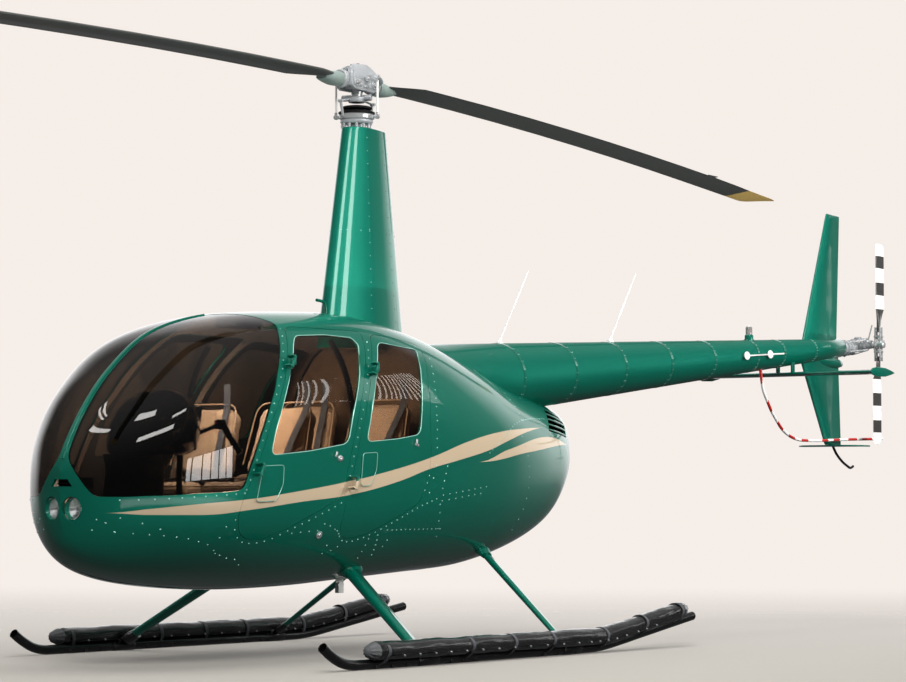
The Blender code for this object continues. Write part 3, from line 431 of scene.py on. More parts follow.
# sprayed gloss enamels, smooth with a clear sheen
whitePaint = grainOn(newFinish("white_gloss_enamel", "#E9E8E4", 0.3, {"Coat Weight": 0.6})[0], 300, 0.06,
    0.0003, 0.03)
redPaint = grainOn(newFinish("red_gloss_enamel", "#B9241F", 0.32, {"Coat Weight": 0.6})[0], 300, 0.06,
    0.0003, 0.06)
# moulded rubber, matt; and sand-cast engine parts, rough and dull
rubber = grainOn(newFinish("black_rubber", "#0B0B0B", 0.6)[0], 500, 0.3, 0.0006, 0.2)
castIron = grainOn(newFinish("engine_castings", "#4A4A48", 0.55, {"Metallic": 0.6})[0], 300, 0.5, 0.002,
    0.3)
# zinc chromate over the forged blade root, dulled
cuffPaint = grainOn(newFinish("grey_green_primer", "#7B8983", 0.34)[0], 400, 0.2, 0.0005, 0.2)
# pressed glass of the lamps, and the clear cap of the beacon
clearLens = newFinish("pressed_clear_glass", "#FFFFFF", 0.06, {"Transmission Weight": 1.0,
    "Alpha": 0.35})[0]
beaconGlass = newFinish("clear_beacon_cap", "#A7A39E", 0.08, {"Transmission Weight": 0.6,
    "Coat Weight": 1.0})[0]
tailBands = bandedPaint("banded_rotor_paint", "Z", 2.0, [(0.0, 1), (0.255, 0), (0.358, 1), (0.452, 0),
    (0.558, 1), (0.648, 0)], ["#F1EFEA", "#3B3A38"])
print("finishes made")

# Hull form: its sections along x, which the solids also follow
hullTable = [
    # station, half width, top, bottom, height of the widest point, squareness above, below
    (2.318, 0.01, 0.985, 0.76, 0.93, 2.0, 2.0),
    (2.279, 0.185, 1.11, 0.615, 0.925, 2.1, 2.1),
    (2.16, 0.378, 1.309, 0.512, 0.925, 2.4, 2.2),
    (1.98, 0.519, 1.513, 0.447, 0.93, 2.6, 2.3),
    (1.7, 0.621, 1.713, 0.404, 0.95, 2.7, 2.4),
    (1.3, 0.644, 1.826, 0.379, 0.96, 2.7, 2.5),
    (0.8, 0.643, 1.872, 0.385, 0.97, 2.7, 2.6),
    (0.3, 0.638, 1.881, 0.412, 0.98, 2.7, 2.6),
    (-0.2, 0.616, 1.811, 0.437, 1.0, 2.5, 2.5),
    (-0.7, 0.55, 1.683, 0.466, 1.03, 2.3, 2.4),
    (-1.2, 0.437, 1.553, 0.55, 1.06, 2.1, 2.2),
    (-1.596, 0.314, 1.475, 0.675, 1.08, 2.1, 2.1),
    (-1.838, 0.197, 1.425, 0.833, 1.11, 2.0, 2.0),
    (-1.994, 0.091, 1.365, 0.996, 1.14, 2.0, 2.0),
    (-2.078, 0.01, 1.254, 1.149, 1.17, 2.0, 2.0),
]
hull = {"steps": 7, "sides": 96, "wall": 0.016, "pane": 0.004, "doorGap": 0.0028, "rearFrame": -0.115}


def splineRows(rows, steps):
    made = []
    for i in range(len(rows) - 1):
        four = (rows[max(i - 1, 0)], rows[i], rows[i + 1], rows[min(i + 2, len(rows) - 1)])
        for k in range(steps):
            t = k / steps
            made.append(tuple(0.5 * (2 * b + (c - a) * t + (2 * a - 5 * b + 4 * c - d) * t * t
                + (3 * b - a - 3 * c + d) * t ** 3) for a, b, c, d in zip(*four)))
    return made + [tuple(rows[-1])]


hullRows = splineRows(hullTable, hull["steps"])


def hullRing(row, sides):
    x, half, top, bottom, belt, upper, lower = row
    ring = []
    for c, s in circlePoints(sides):
        power = 2 / (upper if s > 0 else lower)
        rise = (top - belt) if s > 0 else (belt - bottom)
        ring.append(Vector((x, half * math.copysign(abs(c) ** power, c),
            belt + rise * math.copysign(abs(s) ** power, s))))
    return ring


def hullSide(x, z):
    # half width of the hull at a station and height
    for first, second in zip(hullRows, hullRows[1:]):
        if first[0] >= x >= second[0]:
            t = (first[0] - x) / (first[0] - second[0])
            _, half, top, bottom, belt, upper, lower = [a + (b - a) * t for a, b in zip(first, second)]
            above = z > belt
            rise = (z - belt) / (top - belt) if above else (belt - z) / (belt - bottom)
            power = upper if above else lower
            return half * max(0.0, 1 - rise ** power) ** (1 / power)
    return 0.0


def onHull(x, z, side=1, off=0.0):
    # a point on the skin, and its outward normal
    point = Vector((x, side * hullSide(x, z), z))
    near, normal, _, _ = hullTree.find_nearest(point)
    return near + normal * off, normal


hullMesh = bmesh.new()
addRings(hullMesh, [hullRing(row, hull["sides"]) for row in hullRows])
bmesh.ops.recalc_face_normals(hullMesh, faces=hullMesh.faces)
hullMesh.normal_update()
hullMesh.faces.ensure_lookup_table()
hullTree = BVHTree.FromBMesh(hullMesh)


def smoothNormal(point):
    # the uncut form's normal, blended over the corners of the face nearest to the point
    near, flat, index, _ = hullTree.find_nearest(point)
    if index is None:
        return alongZ
    total = Vector()
    for vert in hullMesh.faces[index].verts:
        weight = 1 / ((vert.co - near).length ** 2 + 1e-9)
        total += vert.normal * weight
    return total.normalized() if total.length > 1e-9 else flat


def cutHull(steps):
    # Booleans on a copy of the hull form; steps are (tool, operation)
    made = []
    for bm in [hullMesh.copy()] + [tool for tool, _ in steps]:
        mesh = bpy.data.meshes.new("cutting")
        bm.to_mesh(mesh)
        piece = bpy.data.objects.new("cutting", mesh)
        scene.collection.objects.link(piece)
        made.append(piece)
    for piece, (_, operation) in zip(made[1:], steps):
        modifier = made[0].modifiers.new("cut", "BOOLEAN")
        modifier.object, modifier.operation, modifier.solver = piece, operation, "EXACT"
    graph = bpy.context.evaluated_depsgraph_get()
    result = bmesh.new()
    result.from_mesh(bpy.data.meshes.new_from_object(made[0].evaluated_get(graph)))
    for piece in made:
        bpy.data.objects.remove(piece)
    bmesh.ops.remove_doubles(result, verts=result.verts, dist=0.00008)
    lost = []
    for face in result.faces:
        near, normal, _, distance = hullTree.find_nearest(face.calc_center_median())
        if distance > 0.003 or face.normal.dot(normal) < 0.6:
            lost.append(face)
    bmesh.ops.delete(result, geom=lost, context="FACES")
    return result


def skinPiece(bm, name, wall, finishes, stands, body="airframe", inset=0.0):
    # gives a sheet of skin its wall, and its outer face the normals of the uncut form
    if inset:
        for vert in bm.verts:
            vert.co -= smoothNormal(vert.co) * inset
    piece = makePiece(bm, name, finishes, stands, body, flip=False)
    shell = piece.modifiers.new("wall", "SOLIDIFY")
    shell.thickness, shell.offset, shell.use_even_offset = wall, -1.0, True
    shell.material_offset = len(piece.data.materials) - 1
    graph = bpy.context.evaluated_depsgraph_get()
    mesh = bpy.data.meshes.new_from_object(piece.evaluated_get(graph))
    piece.modifiers.clear()
    piece.data = mesh
    mesh.shade_smooth()
    mesh.set_sharp_from_angle(angle=math.radians(35))
    normals = [Vector((0, 0, 0))] * len(mesh.loops)
    shift = Vector((mastX, 0, 0))
    for face in mesh.polygons:
        near, normal, _, distance = hullTree.find_nearest(face.center - shift)
        if distance < inset + 0.003 and face.normal.dot(normal) > 0.6:
            for loop in face.loop_indices:
                normals[loop] = smoothNormal(mesh.vertices[mesh.loops[loop].vertex_index].co - shift)
    mesh.normals_split_custom_set(normals)
    return piece


# Outlines on the port side: the screen's as x, y, z and the doors' as x, z
windscreen = [(2.3, 0.03, 1.06), (2.275, 0.19, 0.868), (2.115, 0.422, 0.872), (1.898, 0.558, 0.886),
    (1.65, 0.627, 0.903), (1.568, 0.634, 1.085), (1.475, 0.625, 1.258), (1.378, 0.596, 1.415),
    (1.282, 0.541, 1.564), (1.216, 0.49, 1.652), (1.105, 0.362, 1.777), (1.19, 0.2, 1.826),
    (1.27, 0.024, 1.836), (1.44, 0.024, 1.795), (1.619, 0.024, 1.745), (1.795, 0.024, 1.662),
    (1.996, 0.024, 1.498), (2.127, 0.024, 1.352), (2.237, 0.024, 1.188)]
doors = {
    "front": {"outline": [(1.552, 0.648), (1.63, 0.68), (1.667, 0.75), (1.654, 0.846), (1.564, 1.006),
        (1.437, 1.25), (1.303, 1.444), (1.163, 1.655), (1.085, 1.75), (1.03, 1.765), (0.48, 1.765),
        (0.515, 1.707), (0.625, 1.527), (0.731, 1.317), (0.823, 1.083), (0.87, 0.935), (0.895, 0.868),
        (0.942, 0.848), (1.113, 0.779), (1.303, 0.702), (1.466, 0.652)],
        "window": [(1.458, 1.078), (1.412, 1.209), (1.291, 1.418), (1.121, 1.656), (1.055, 1.716),
        (0.8, 1.733), (0.6, 1.726), (0.576, 1.69), (0.687, 1.485), (0.785, 1.298), (0.838, 1.15),
        (1.155, 1.105)], "hinges": [(1.562, 1.002), (1.219, 1.567)], "bulge": [(1.565, 0.842), (1.52, 1.024),
        (1.364, 1.03), (1.371, 0.93), (1.42, 0.848)]},
    "rear": {"outline": [(0.779, 0.649), (0.83, 0.657), (0.868, 0.7), (0.86, 0.796), (0.814, 0.947),
        (0.725, 1.201), (0.612, 1.446), (0.493, 1.649), (0.41, 1.755), (0.275, 1.75), (-0.055, 1.716),
        (0.049, 1.53), (0.104, 1.295), (0.121, 1.025), (0.165, 0.918), (0.211, 0.84), (0.333, 0.787),
        (0.498, 0.722), (0.653, 0.666)], "window": [(0.685, 1.16), (0.606, 1.365), (0.498, 1.575),
        (0.395, 1.712), (0.041, 1.689), (0.026, 1.68), (0.113, 1.527), (0.167, 1.356), (0.207, 1.21),
        (0.404, 1.183)], "hinges": [(0.817, 0.94), (0.553, 1.555)], "bulge": [(0.742, 0.925), (0.722, 1.1),
        (0.599, 1.107), (0.612, 1.01), (0.66, 0.93)]},
}
doorEye, screenEye = Vector((0.75, -0.55, 1.2)), Vector((0.95, 0.2, 1.2))


def roundCorners(points, radius, steps=6):
    points = [Vector(p) for p in points]
    made = []
    for i, corner in enumerate(points):
        inward, outward = points[i - 1] - corner, points[(i + 1) % len(points)] - corner
        reach = min(radius, 0.45 * inward.length, 0.45 * outward.length)
        start, end = corner + inward.normalized() * reach, corner + outward.normalized() * reach
        for k in range(steps + 1):
            t = k / steps
            made.append(start.lerp(corner, t).lerp(corner.lerp(end, t), t))
    return made


def grown(outline, amount):
    area = sum(a.x * b.y - b.x * a.y for a, b in zip(outline, outline[1:] + outline[:1]))
    made = []
    for i, point in enumerate(outline):
        along = (outline[(i + 1) % len(outline)] - outline[i - 1]).normalized()
        made.append(point + Vector((along.y, -along.x)) * math.copysign(amount, area))
    return made


def sightCone(eye, points, reach=1.35):
    # closed cone from a point in the cabin through an outline on the skin
    bm = bmesh.new()
    far = bmesh.ops.create_circle(bm, segments=len(points), radius=1)["verts"]
    for vert, point in zip(far, points):
        vert.co = eye + (point - eye) * reach
    rim = edgesOf(far)
    tip = bmesh.ops.extrude_edge_only(bm, edges=rim)["geom"]
    tip = [item for item in tip if isinstance(item, bmesh.types.BMVert)]
    bmesh.ops.pointmerge(bm, verts=tip, merge_co=eye)
    cap = bmesh.ops.extrude_edge_only(bm, edges=rim)["geom"]
    cap = [item for item in cap if isinstance(item, bmesh.types.BMVert)]
    middle = sum((v.co for v in far), Vector()) / len(far)
    bmesh.ops.pointmerge(bm, verts=cap, merge_co=middle + (middle - eye) * 0.4)
    bmesh.ops.recalc_face_normals(bm, faces=bm.faces)
    return bm


def sideCone(outline, amount, side=1, radius=0.05):
    flat = grown(roundCorners([Vector(p) for p in outline], radius), amount)
    points = [Vector((p.x, side * hullSide(p.x, p.y), p.y)) for p in flat]
    return sightCone(Vector((doorEye.x, side * doorEye.y, doorEye.z)), points)


def screenCone(amount, side=1):
    points = roundCorners(windscreen, 0.04)
    middle = sum(points, Vector()) / len(points)
    points = [p + (p - middle).normalized() * amount for p in points]
    return sightCone(Vector((screenEye.x, side * screenEye.y, screenEye.z)),
        [Vector((p.x, side * p.y, p.z)) for p in points])


# Cabin shell, roof and cowl from one sheet with every hole cut
grille = {
    "outline": [(-1.581, 1.431), (-1.423, 1.267), (-1.79, 1.234), (-1.891, 1.317), (-1.791, 1.382)],
    "slats": 5,
    "slat": 0.006,
}
tools = []
for side in (1, -1):
    for door in doors.values():
        tools.append((sideCone(door["outline"], hull["doorGap"], side), "DIFFERENCE"))
    tools.append((screenCone(0.002, side), "DIFFERENCE"))
    lampHole = addRod(bmesh.new(), (2.1, side * 0.07, 0.806), (2.5, side * 0.07, 0.806), 0.06, 40)
    tools.append((lampHole, "DIFFERENCE"))
    vent = addSlab(bmesh.new(), [(x, side * 0.075, z) for x, z in grille["outline"]], (0, side * 0.5, 0))
    bmesh.ops.recalc_face_normals(vent, faces=vent.faces)
    tools.append((vent, "DIFFERENCE"))
inlet = addSlab(bmesh.new(), [(2.2, -0.074, 0.916), (2.2, 0.074, 0.916), (2.2, 0.06, 0.934),
    (2.2, 0.046, 0.952), (2.2, -0.046, 0.952), (2.2, -0.06, 0.934)], (0.4, 0, 0))
bmesh.ops.recalc_face_normals(inlet, faces=inlet.faces)
tools.append((inlet, "DIFFERENCE"))
tools.append((addBox(bmesh.new(), (-1.29, -0.183, 0.3), (-0.41, 0.183, 0.9)), "DIFFERENCE"))
holed = cutHull(tools)
print("hull cut")

for name, keepFront, stands, inside in (("cabinShell", True, ("cabin_frame", "roof_panel"), liner),
        ("aftCowl", False, ("aft_cowl",), blackPlastic)):
    part = holed.copy()
    bmesh.ops.bisect_plane(part, geom=part.verts[:] + part.edges[:] + part.faces[:], dist=0.00001,
        plane_co=(hull["rearFrame"], 0, 0), plane_no=(1, 0, 0), clear_inner=keepFront,
        clear_outer=not keepFront)
    skinPiece(part, name, hull["wall"], [green, inside], stands)
print("cabin shell and cowl made")

# Doors and panes
for doorName, door in doors.items():
    leaf = cutHull([(sideCone(door["outline"], 0.0), "INTERSECT"),
        (sideCone(door["window"], 0.001), "DIFFERENCE")])
    pane = cutHull([(sideCone(door["window"], -0.001), "INTERSECT")])
    for sideName, side in bothSides:
        leafHere = leaf.copy() if side > 0 else mirrored(leaf)
        paneHere = pane.copy() if side > 0 else mirrored(pane)
        body = f"{doorName}_door_{sideName}"
        skinPiece(leafHere, f"{doorName}DoorSkin_{sideName}", hull["wall"], [green, blackPlastic],
            (f"{doorName}_door_{sideName}",), body=body)
        skinPiece(paneHere, f"{doorName}WindowPane_{sideName}", hull["pane"], windowPane,
            (f"{doorName}_window_{sideName}",), inset=0.002, body=body)
screen = cutHull([(screenCone(0.0), "INTERSECT")])
for sideName, side in bothSides:
    skinPiece(screen.copy() if side > 0 else mirrored(screen), f"windscreenPane_{sideName}",
        hull["pane"], screenPane, (f"windscreen_{sideName}",), inset=0.0015)
print("doors and glass made")

# Hinges, door bulges, latches and nose fittings
hinge = {"stand": 0.04, "radius": 0.009, "length": 0.05, "ear": 0.0096}


def slabOnHull(bm, outline, lift, side=1):
    # a low pressed shape that follows the skin: outline in x, z, raised by lift
    points = roundCorners([Vector(p) for p in outline], 0.02, 4)
    middle = sum(points, Vector((0, 0))) / len(points)
    for share, off in ((1.0, -0.003), (1.0, lift * 0.4), (0.97, lift), (0.5, lift * 1.15),
            (0.06, lift * 1.2)):
        ring = bmesh.ops.create_circle(bm, segments=len(points), radius=1)["verts"]
        for vert, p in zip(ring, points):
            spot = middle + (p - middle) * share
            base, normal = onHull(spot.x, spot.y, side)
            vert.co = base + normal * off
        edges = [e for v in ring for e in v.link_edges if e.verts[0] is v]
        if share < 1.0 or off > 0:
            bmesh.ops.bridge_loops(bm, edges=last + edges)
        last = edges
    bmesh.ops.edgeloop_fill(bm, edges=last)
    return bm


for doorName, door in doors.items():
    for sideName, side in bothSides:
        body = f"{doorName}_door_{sideName}"
        pins = [Vector((x, side * (hullSide(x, z) + hinge["stand"]), z)) for x, z in door["hinges"]]
        axis = (pins[1] - pins[0]).normalized()
        outward = (Vector((0, side, 0)) - axis * axis.y * side).normalized()
        turn = Matrix((outward.cross(axis) * side, outward, axis)).transposed()
        knuckles, ears = bmesh.new(), bmesh.new()
        for pin in pins:
            half = axis * hinge["length"] / 2
            addRod(knuckles, pin - half, pin + half, hinge["radius"], 20, bevel=0.0012)
            addBox(knuckles, pin + Vector((-0.019, min(-0.042 * side, 0.003 * side), -0.014)),
                pin + Vector((-0.007, max(-0.042 * side, 0.003 * side), 0.014)), 0.002)
            addRod(knuckles, pin - half * 1.75, pin + half * 1.75, 0.0032, 10)
            for end in (1, -1):
                spot = pin + axis * end * (hinge["length"] / 2 + 0.0055)
                addPin(ears, spot, axis * hinge["ear"] / 2, hinge["radius"], 20, bevel=0.001)
                foot = spot + turn @ Vector((0.012, -0.016, 0))
                addBox(ears, foot - Vector((0.014, 0.02, 0.0045)), foot + Vector((0.014, 0.02, 0.0045)),
                    0.0015, turn=turn)
        makePiece(knuckles, f"{doorName}HingeKnuckles_{sideName}", green, body=body)
        makePiece(ears, f"{doorName}HingeEars_{sideName}", green)
        makePiece(slabOnHull(bmesh.new(), door["bulge"], 0.0075, side),
            f"{doorName}HingeBulge_{sideName}", green, body=body)

# Ends of each latch's lever and the middle of its knob, as x, z
latches = {
    "front": {"lever": ((0.946, 1.104), (0.958, 1.078)), "knob": (0.912, 1.07)},
    "rear": {"lever": ((0.253, 1.182), (0.266, 1.148)), "knob": (0.236, 1.15)},
}
for doorName, latch in latches.items():
    for sideName, side in bothSides:
        metal = bmesh.new()
        (headX, headZ), (footX, footZ) = latch["lever"]
        head, normal = onHull(headX, headZ, side, 0.01)
        foot, _ = onHull(footX, footZ, side, 0.007)
        addTube(metal, curved([head, head.lerp(foot, 0.5) + normal * 0.004, foot], 5),
            [0.004] + [0.006] * 9 + [0.003], 12)
        knob, normal = onHull(*latch["knob"], side, 0.0)
        addLathe(metal, [(-0.004, 0.0), (-0.004, 0.017), (0.006, 0.017), (0.01, 0.013), (0.014, 0.012),
            (0.0165, 0.008), (0.0165, 0.0)] if doorName == "front" else [(-0.004, 0.0), (-0.004, 0.007),
            (0.006, 0.007), (0.008, 0.0)], knob, normal, 24)
        body = f"{doorName}_door_{sideName}"
        makePiece(metal, f"{doorName}Latch_{sideName}", brightSteel, body=body,
            angle=40)

nose = bmesh.new()
lampCup = bmesh.new()
lampLens = bmesh.new()
for side in (1, -1):
    center = Vector((2.262, side * 0.07, 0.806))
    addLathe(nose, [(0.0, 0.0585), (0.02, 0.0585), (0.03, 0.06), (0.034, 0.058), (0.034, 0.0545),
        (0.012, 0.052), (0.0, 0.05), (0.0, 0.0585)], center, (1, 0, 0), 40)
    addLathe(lampCup, [(-0.028, 0.0), (-0.027, 0.012), (-0.018, 0.032), (0.006, 0.05), (0.01, 0.053),
        (0.006, 0.055), (-0.024, 0.034), (-0.034, 0.0)], center, (1, 0, 0), 40)
    addLathe(lampCup, [(-0.028, 0.0), (-0.028, 0.01), (-0.004, 0.012), (0.002, 0.009), (0.003, 0.0)],
        center, (1, 0, 0), 20)
    addLathe(lampLens, [(0.012, 0.0), (0.011, 0.03), (0.007, 0.053), (0.01, 0.053), (0.015, 0.03),
        (0.016, 0.0)], center, (1, 0, 0), 40)
    for k in range(-4, 5):
        half = math.sqrt(0.05 ** 2 - (k * 0.011) ** 2)
        addBox(lampLens, center + Vector((0.0165, -half, k * 0.011 - 0.0014)),
            center + Vector((0.019, half, k * 0.011 + 0.0014)))
makePiece(nose, "landingLampRings", green)
makePiece(lampCup, "landingLampReflectors", brightSteel,
    ("landing_lamp_left", "landing_lamp_right"), angle=50)
makePiece(lampLens, "landingLampLenses", clearLens)
duct = addBox(bmesh.new(), (2.16, -0.078, 0.908), (2.255, 0.078, 0.962), 0.004)
makePiece(duct, "noseInletDuct", rubber)
vane = addSlab(bmesh.new(), [(2.235, -0.06, 0.934), (2.285, -0.06, 0.93), (2.285, 0.06, 0.93),
    (2.235, 0.06, 0.934)], (0, 0, 0.003))
makePiece(vane, "noseInletVane", blackPlastic)

# bow strip between the two screens, raised a little
bow = bmesh.new()
rows = []
for t in range(41):
    z = 1.055 + (1.838 - 1.055) * t / 40
    spot, _, _, _ = hullTree.find_nearest(Vector((2.3 - 1.02 * (t / 40) ** 1.9, 0, z)))
    spot.y = 0
    rows.append(spot)
rings = []
for i, spot in enumerate(rows):
    along = rows[min(i + 1, 40)] - rows[max(i - 1, 0)]
    rings.append(ovalRing(spot + smoothNormal(spot) * 0.0025, along, 0.0115, 0.004, 12, square=5))
addRings(bow, rings)
makePiece(bow, "screenBowStrip", green)

# pitot tube ahead of the mast fairing
pitot = bmesh.new()
addTube(pitot, curved([(0.262, 0, 1.86), (0.268, 0, 1.935), (0.29, 0, 1.958), (0.345, 0, 1.964)], 5),
    0.009, 12)
makePiece(pitot, "pitotTube", green)

# chrome ring of the tie-down socket low on the side, and a small drain bracket under the belly
for sideName, side in bothSides:
    spot, normal = onHull(1.026, 0.67, side)
    socket = addLathe(bmesh.new(), [(-0.004, 0.0), (-0.004, 0.019), (0.003, 0.021), (0.006, 0.018),
        (0.004, 0.012), (0.008, 0.008), (0.01, 0.0)], spot, normal, 28)
    makePiece(socket, f"sideSocket_{sideName}", brightSteel, angle=50)

# a small pale bracket under the belly, ahead of the front legs
bracket = addBox(bmesh.new(), (0.405, 0.246, 0.4), (0.465, 0.254, 0.475), 0.002)
addBox(bracket, (0.412, 0.236, 0.345), (0.458, 0.264, 0.405), 0.004)
makePiece(bracket, "bellyBracket", whitePaint)


def beadOnHull(bm, outline, side, lift, radius, corner):
    # a thin closed bead that follows an outline in x, z on the skin
    points = roundCorners([Vector(p) for p in outline], corner, 5)
    line = [onHull(p.x, p.y, side, lift)[0] for p in points]
    return addRings(bm, pathRings(line, radius, 6), closed=True, caps=False)


# pale beads round each door window and hinge bulge: their pale colour is a painted highlight line along the
# edges
for doorName, door in doors.items():
    for sideName, side in bothSides:
        beads = beadOnHull(bmesh.new(), door["window"], side, 0.0004, 0.0022, 0.05)
        beadOnHull(beads, door["bulge"], side, 0.007, 0.0014, 0.02)
        makePiece(beads, f"{doorName}DoorBeads_{sideName}", paleHighlightPaint,
            body=f"{doorName}_door_{sideName}")
slats = bmesh.new()
top, front, low, rear, shoulder = [Vector(p) for p in grille["outline"]]
for side in (1, -1):
    for i in range(grille["slats"]):
        share = (i + 0.6) / grille["slats"]
        ahead = top.lerp(front, share)
        back = shoulder.lerp(rear, share * 2) if share < 0.5 else rear.lerp(low, share * 2 - 1)
        line = [onHull(*ahead.lerp(back, k / 6), side, -0.004)[0] for k in range(7)]
        addTube(slats, line, grille["slat"], 8)
makePiece(slats, "cowlGrilleSlats", green)

# Rivets: low domes along the seams and stringers, laid on the skin
# Each line: station and height of its corners, then the pitch in metres
rivetLines = {
    "post": ([(1.113, 1.751), (1.199, 1.653), (1.276, 1.531), (1.358, 1.416), (1.448, 1.271),
        (1.533, 1.118), (1.594, 0.974), (1.629, 0.902)], 0.055),
    "middlePost": ([(0.485, 1.707), (0.568, 1.578), (0.638, 1.445), (0.701, 1.317), (0.75, 1.201),
        (0.793, 1.083), (0.825, 0.98)], 0.055),
    "sill": ([(1.64, 0.884), (1.9, 0.866), (2.1, 0.852), (2.21, 0.848)], 0.06),
    "underFront": ([(1.694, 0.8), (1.68, 0.758), (1.674, 0.709), (1.645, 0.669), (1.605, 0.64),
        (1.542, 0.63), (1.486, 0.632), (1.43, 0.641), (1.376, 0.656), (1.278, 0.695), (1.185, 0.728),
        (1.085, 0.764), (0.993, 0.797), (0.891, 0.836)], 0.052),
    "frontRow": ([(1.247, 0.68), (1.047, 0.692)], 0.066),
    "frontCurve": ([(1.002, 0.727), (0.953, 0.716), (0.906, 0.697), (0.865, 0.674)], 0.05),
    "underRear": ([(0.885, 0.69), (0.831, 0.64), (0.785, 0.63), (0.734, 0.632), (0.648, 0.65),
        (0.532, 0.688), (0.371, 0.752), (0.208, 0.815), (0.15, 0.832), (0.054, 0.859)], 0.045),
    "cowlUpper": ([(-0.008, 0.88), (-0.146, 0.895), (-0.284, 0.91), (-0.46, 0.928)], 0.062),
    "cowlLower": ([(-0.003, 0.848), (-0.149, 0.863), (-0.289, 0.879), (-0.4, 0.89)], 0.072),
    "cowlRow": ([(0.454, 0.69), (-0.044, 0.694)], 0.042),
    "cowlPost": ([(0.035, 1.29), (0.052, 1.182), (0.06, 1.04)], 0.05),
    "cowlPostUpper": ([(-0.075, 1.64), (-0.02, 1.535), (0.015, 1.42), (0.035, 1.32)], 0.052),
    "cowlPost2": ([(-0.044, 1.04), (-0.013, 0.957), (0.001, 0.917)], 0.042),
    "cowlDown": ([(0.013, 0.828), (0.004, 0.785), (-0.005, 0.74), (-0.04, 0.651)], 0.044),
    "ribA": ([(0.594, 0.645), (0.597, 0.591), (0.592, 0.542)], 0.03),
    "ribB": ([(0.524, 0.664), (0.505, 0.608), (0.485, 0.558)], 0.03),
    "ribC": ([(0.421, 0.636), (0.433, 0.601)], 0.034),
    "noseLow": ([(2.262, 0.7), (2.2, 0.69), (2.12, 0.68), (2.02, 0.672), (1.9, 0.655), (1.8, 0.63),
        (1.727, 0.59), (1.66, 0.56), (1.57, 0.548)], 0.062),
    "noseSide": ([(2.2, 0.76), (2.13, 0.735), (2.05, 0.705)], 0.07),
    "cowlSeam": ([(-0.5, 1.12), (-0.7, 1.215), (-0.86, 1.288), (-1.0, 1.32), (-1.2, 1.336), (-1.42, 1.34)],
        0.042),
    "cowlHoop": ([(-0.965, 1.48), (-1.01, 1.38), (-1.02, 1.32)], 0.045),
    "cowlBand": ([(-0.95, 1.225), (-1.01, 1.1), (-1.03, 0.95), (-1.01, 0.8), (-0.97, 0.68)], 0.06),
}
rivetBed = bmesh.new()


def addRivet(bm, spot, normal, radius=0.0047):
    turn = normal.to_track_quat("Z", "Y").to_matrix().to_4x4()
    bmesh.ops.create_cone(bm, cap_ends=True, segments=8, radius1=radius, radius2=radius * 0.45,
        depth=radius * 0.55, matrix=Matrix.Translation(spot + normal * radius * 0.2) @ turn)


def spaced(points, pitch):
    points = [Vector(p) for p in points]
    total = sum((b - a).length for a, b in zip(points, points[1:]))
    count = max(1, round(total / pitch))
    made, walked, target = [], 0.0, 0.0
    for a, b in zip(points, points[1:]):
        size = (b - a).length
        while target <= walked + size + 1e-9:
            made.append(a.lerp(b, (target - walked) / size))
            target += total / count
        walked += size
    return made


for points, pitch in rivetLines.values():
    for spot in spaced(points, pitch):
        for side in (1, -1):
            place, normal = onHull(spot.x, spot.y, side)
            addRivet(rivetBed, place, normal)
for x, z in ((1.721, 0.581), (1.511, 0.52), (1.727, 0.716), (1.743, 0.661), (0.926, 0.613),
        (0.873, 0.586), (0.93, 0.571), (0.832, 0.605), (0.13, 0.986), (0.089, 0.974), (0.149, 0.945),
        (0.169, 0.905), (0.126, 0.893), (2.235, 0.735), (2.26, 0.752)):
    for side in (1, -1):
        place, normal = onHull(x, z, side)
        addRivet(rivetBed, place, normal)
# the rivets' pale finish is a painted highlight
makePiece(rivetBed, "hullRivets", paleHighlightPaint, angle=20)
print("fittings and rivets made")

# Cabin: seats, belts, console, stick, floor
for name, finish in (("cabin_floor", carpet), ("firewall", liner), ("engine_block", castIron)):
    nodes[name].data.materials.clear()
    nodes[name].data.materials.append(finish)

# cushion: front x, rear x, bottom, top; back: foot x, head x, foot z, head z, thickness
seats = {
    "front": {"cushion": (1.415, 0.985, 0.842, 0.935), "back": (0.955, 0.828, 0.925, 1.36, 0.095)},
    "rear": {"cushion": (0.555, 0.165, 0.882, 0.985), "back": (0.135, 0.008, 0.965, 1.4, 0.09)},
}
seatSide = (0.034, 0.498)  # inner and outer y of every seat


def puffed(bm, cap, voxel=0.009):
    # a cushion: remeshed evenly, swelled by cloth under pressure with each point's travel capped
    mesh = bpy.data.meshes.new("pad")
    bm.to_mesh(mesh)
    bm.free()
    pad = bpy.data.objects.new("pad", mesh)
    scene.collection.objects.link(pad)
    frames = 20
    grid = pad.modifiers.new("grid", "REMESH")
    grid.mode, grid.voxel_size = "VOXEL", voxel
    graph = bpy.context.evaluated_depsgraph_get()
    mesh = bpy.data.meshes.new_from_object(pad.evaluated_get(graph))
    pad.modifiers.clear()
    pad.data = mesh
    start = [v.co.copy() for v in mesh.vertices]
    cloth = pad.modifiers.new("cloth", "CLOTH")
    cloth.settings.use_pressure = True
    cloth.settings.uniform_pressure_force = 4.0
    cloth.settings.effector_weights.gravity = 0.0
    cloth.settings.quality = 4
    cloth.point_cache.frame_start, cloth.point_cache.frame_end = 1, frames
    for step in range(1, frames + 1):
        scene.frame_set(step)
    graph = bpy.context.evaluated_depsgraph_get()
    swelled = bpy.data.meshes.new_from_object(pad.evaluated_get(graph))
    for vert, rest in zip(swelled.vertices, start):
        move = vert.co - rest
        if move.length > cap:
            vert.co = rest + move * (cap / move.length)
    pad.modifiers.clear()
    pad.data = swelled
    scene.frame_set(1)
    made = bmesh.new()
    made.from_mesh(pad.data)
    bpy.data.objects.remove(pad)
    for step in range(2):
        bmesh.ops.smooth_vert(made, verts=made.verts, factor=0.5, use_axis_x=True, use_axis_y=True,
            use_axis_z=True)
    return made


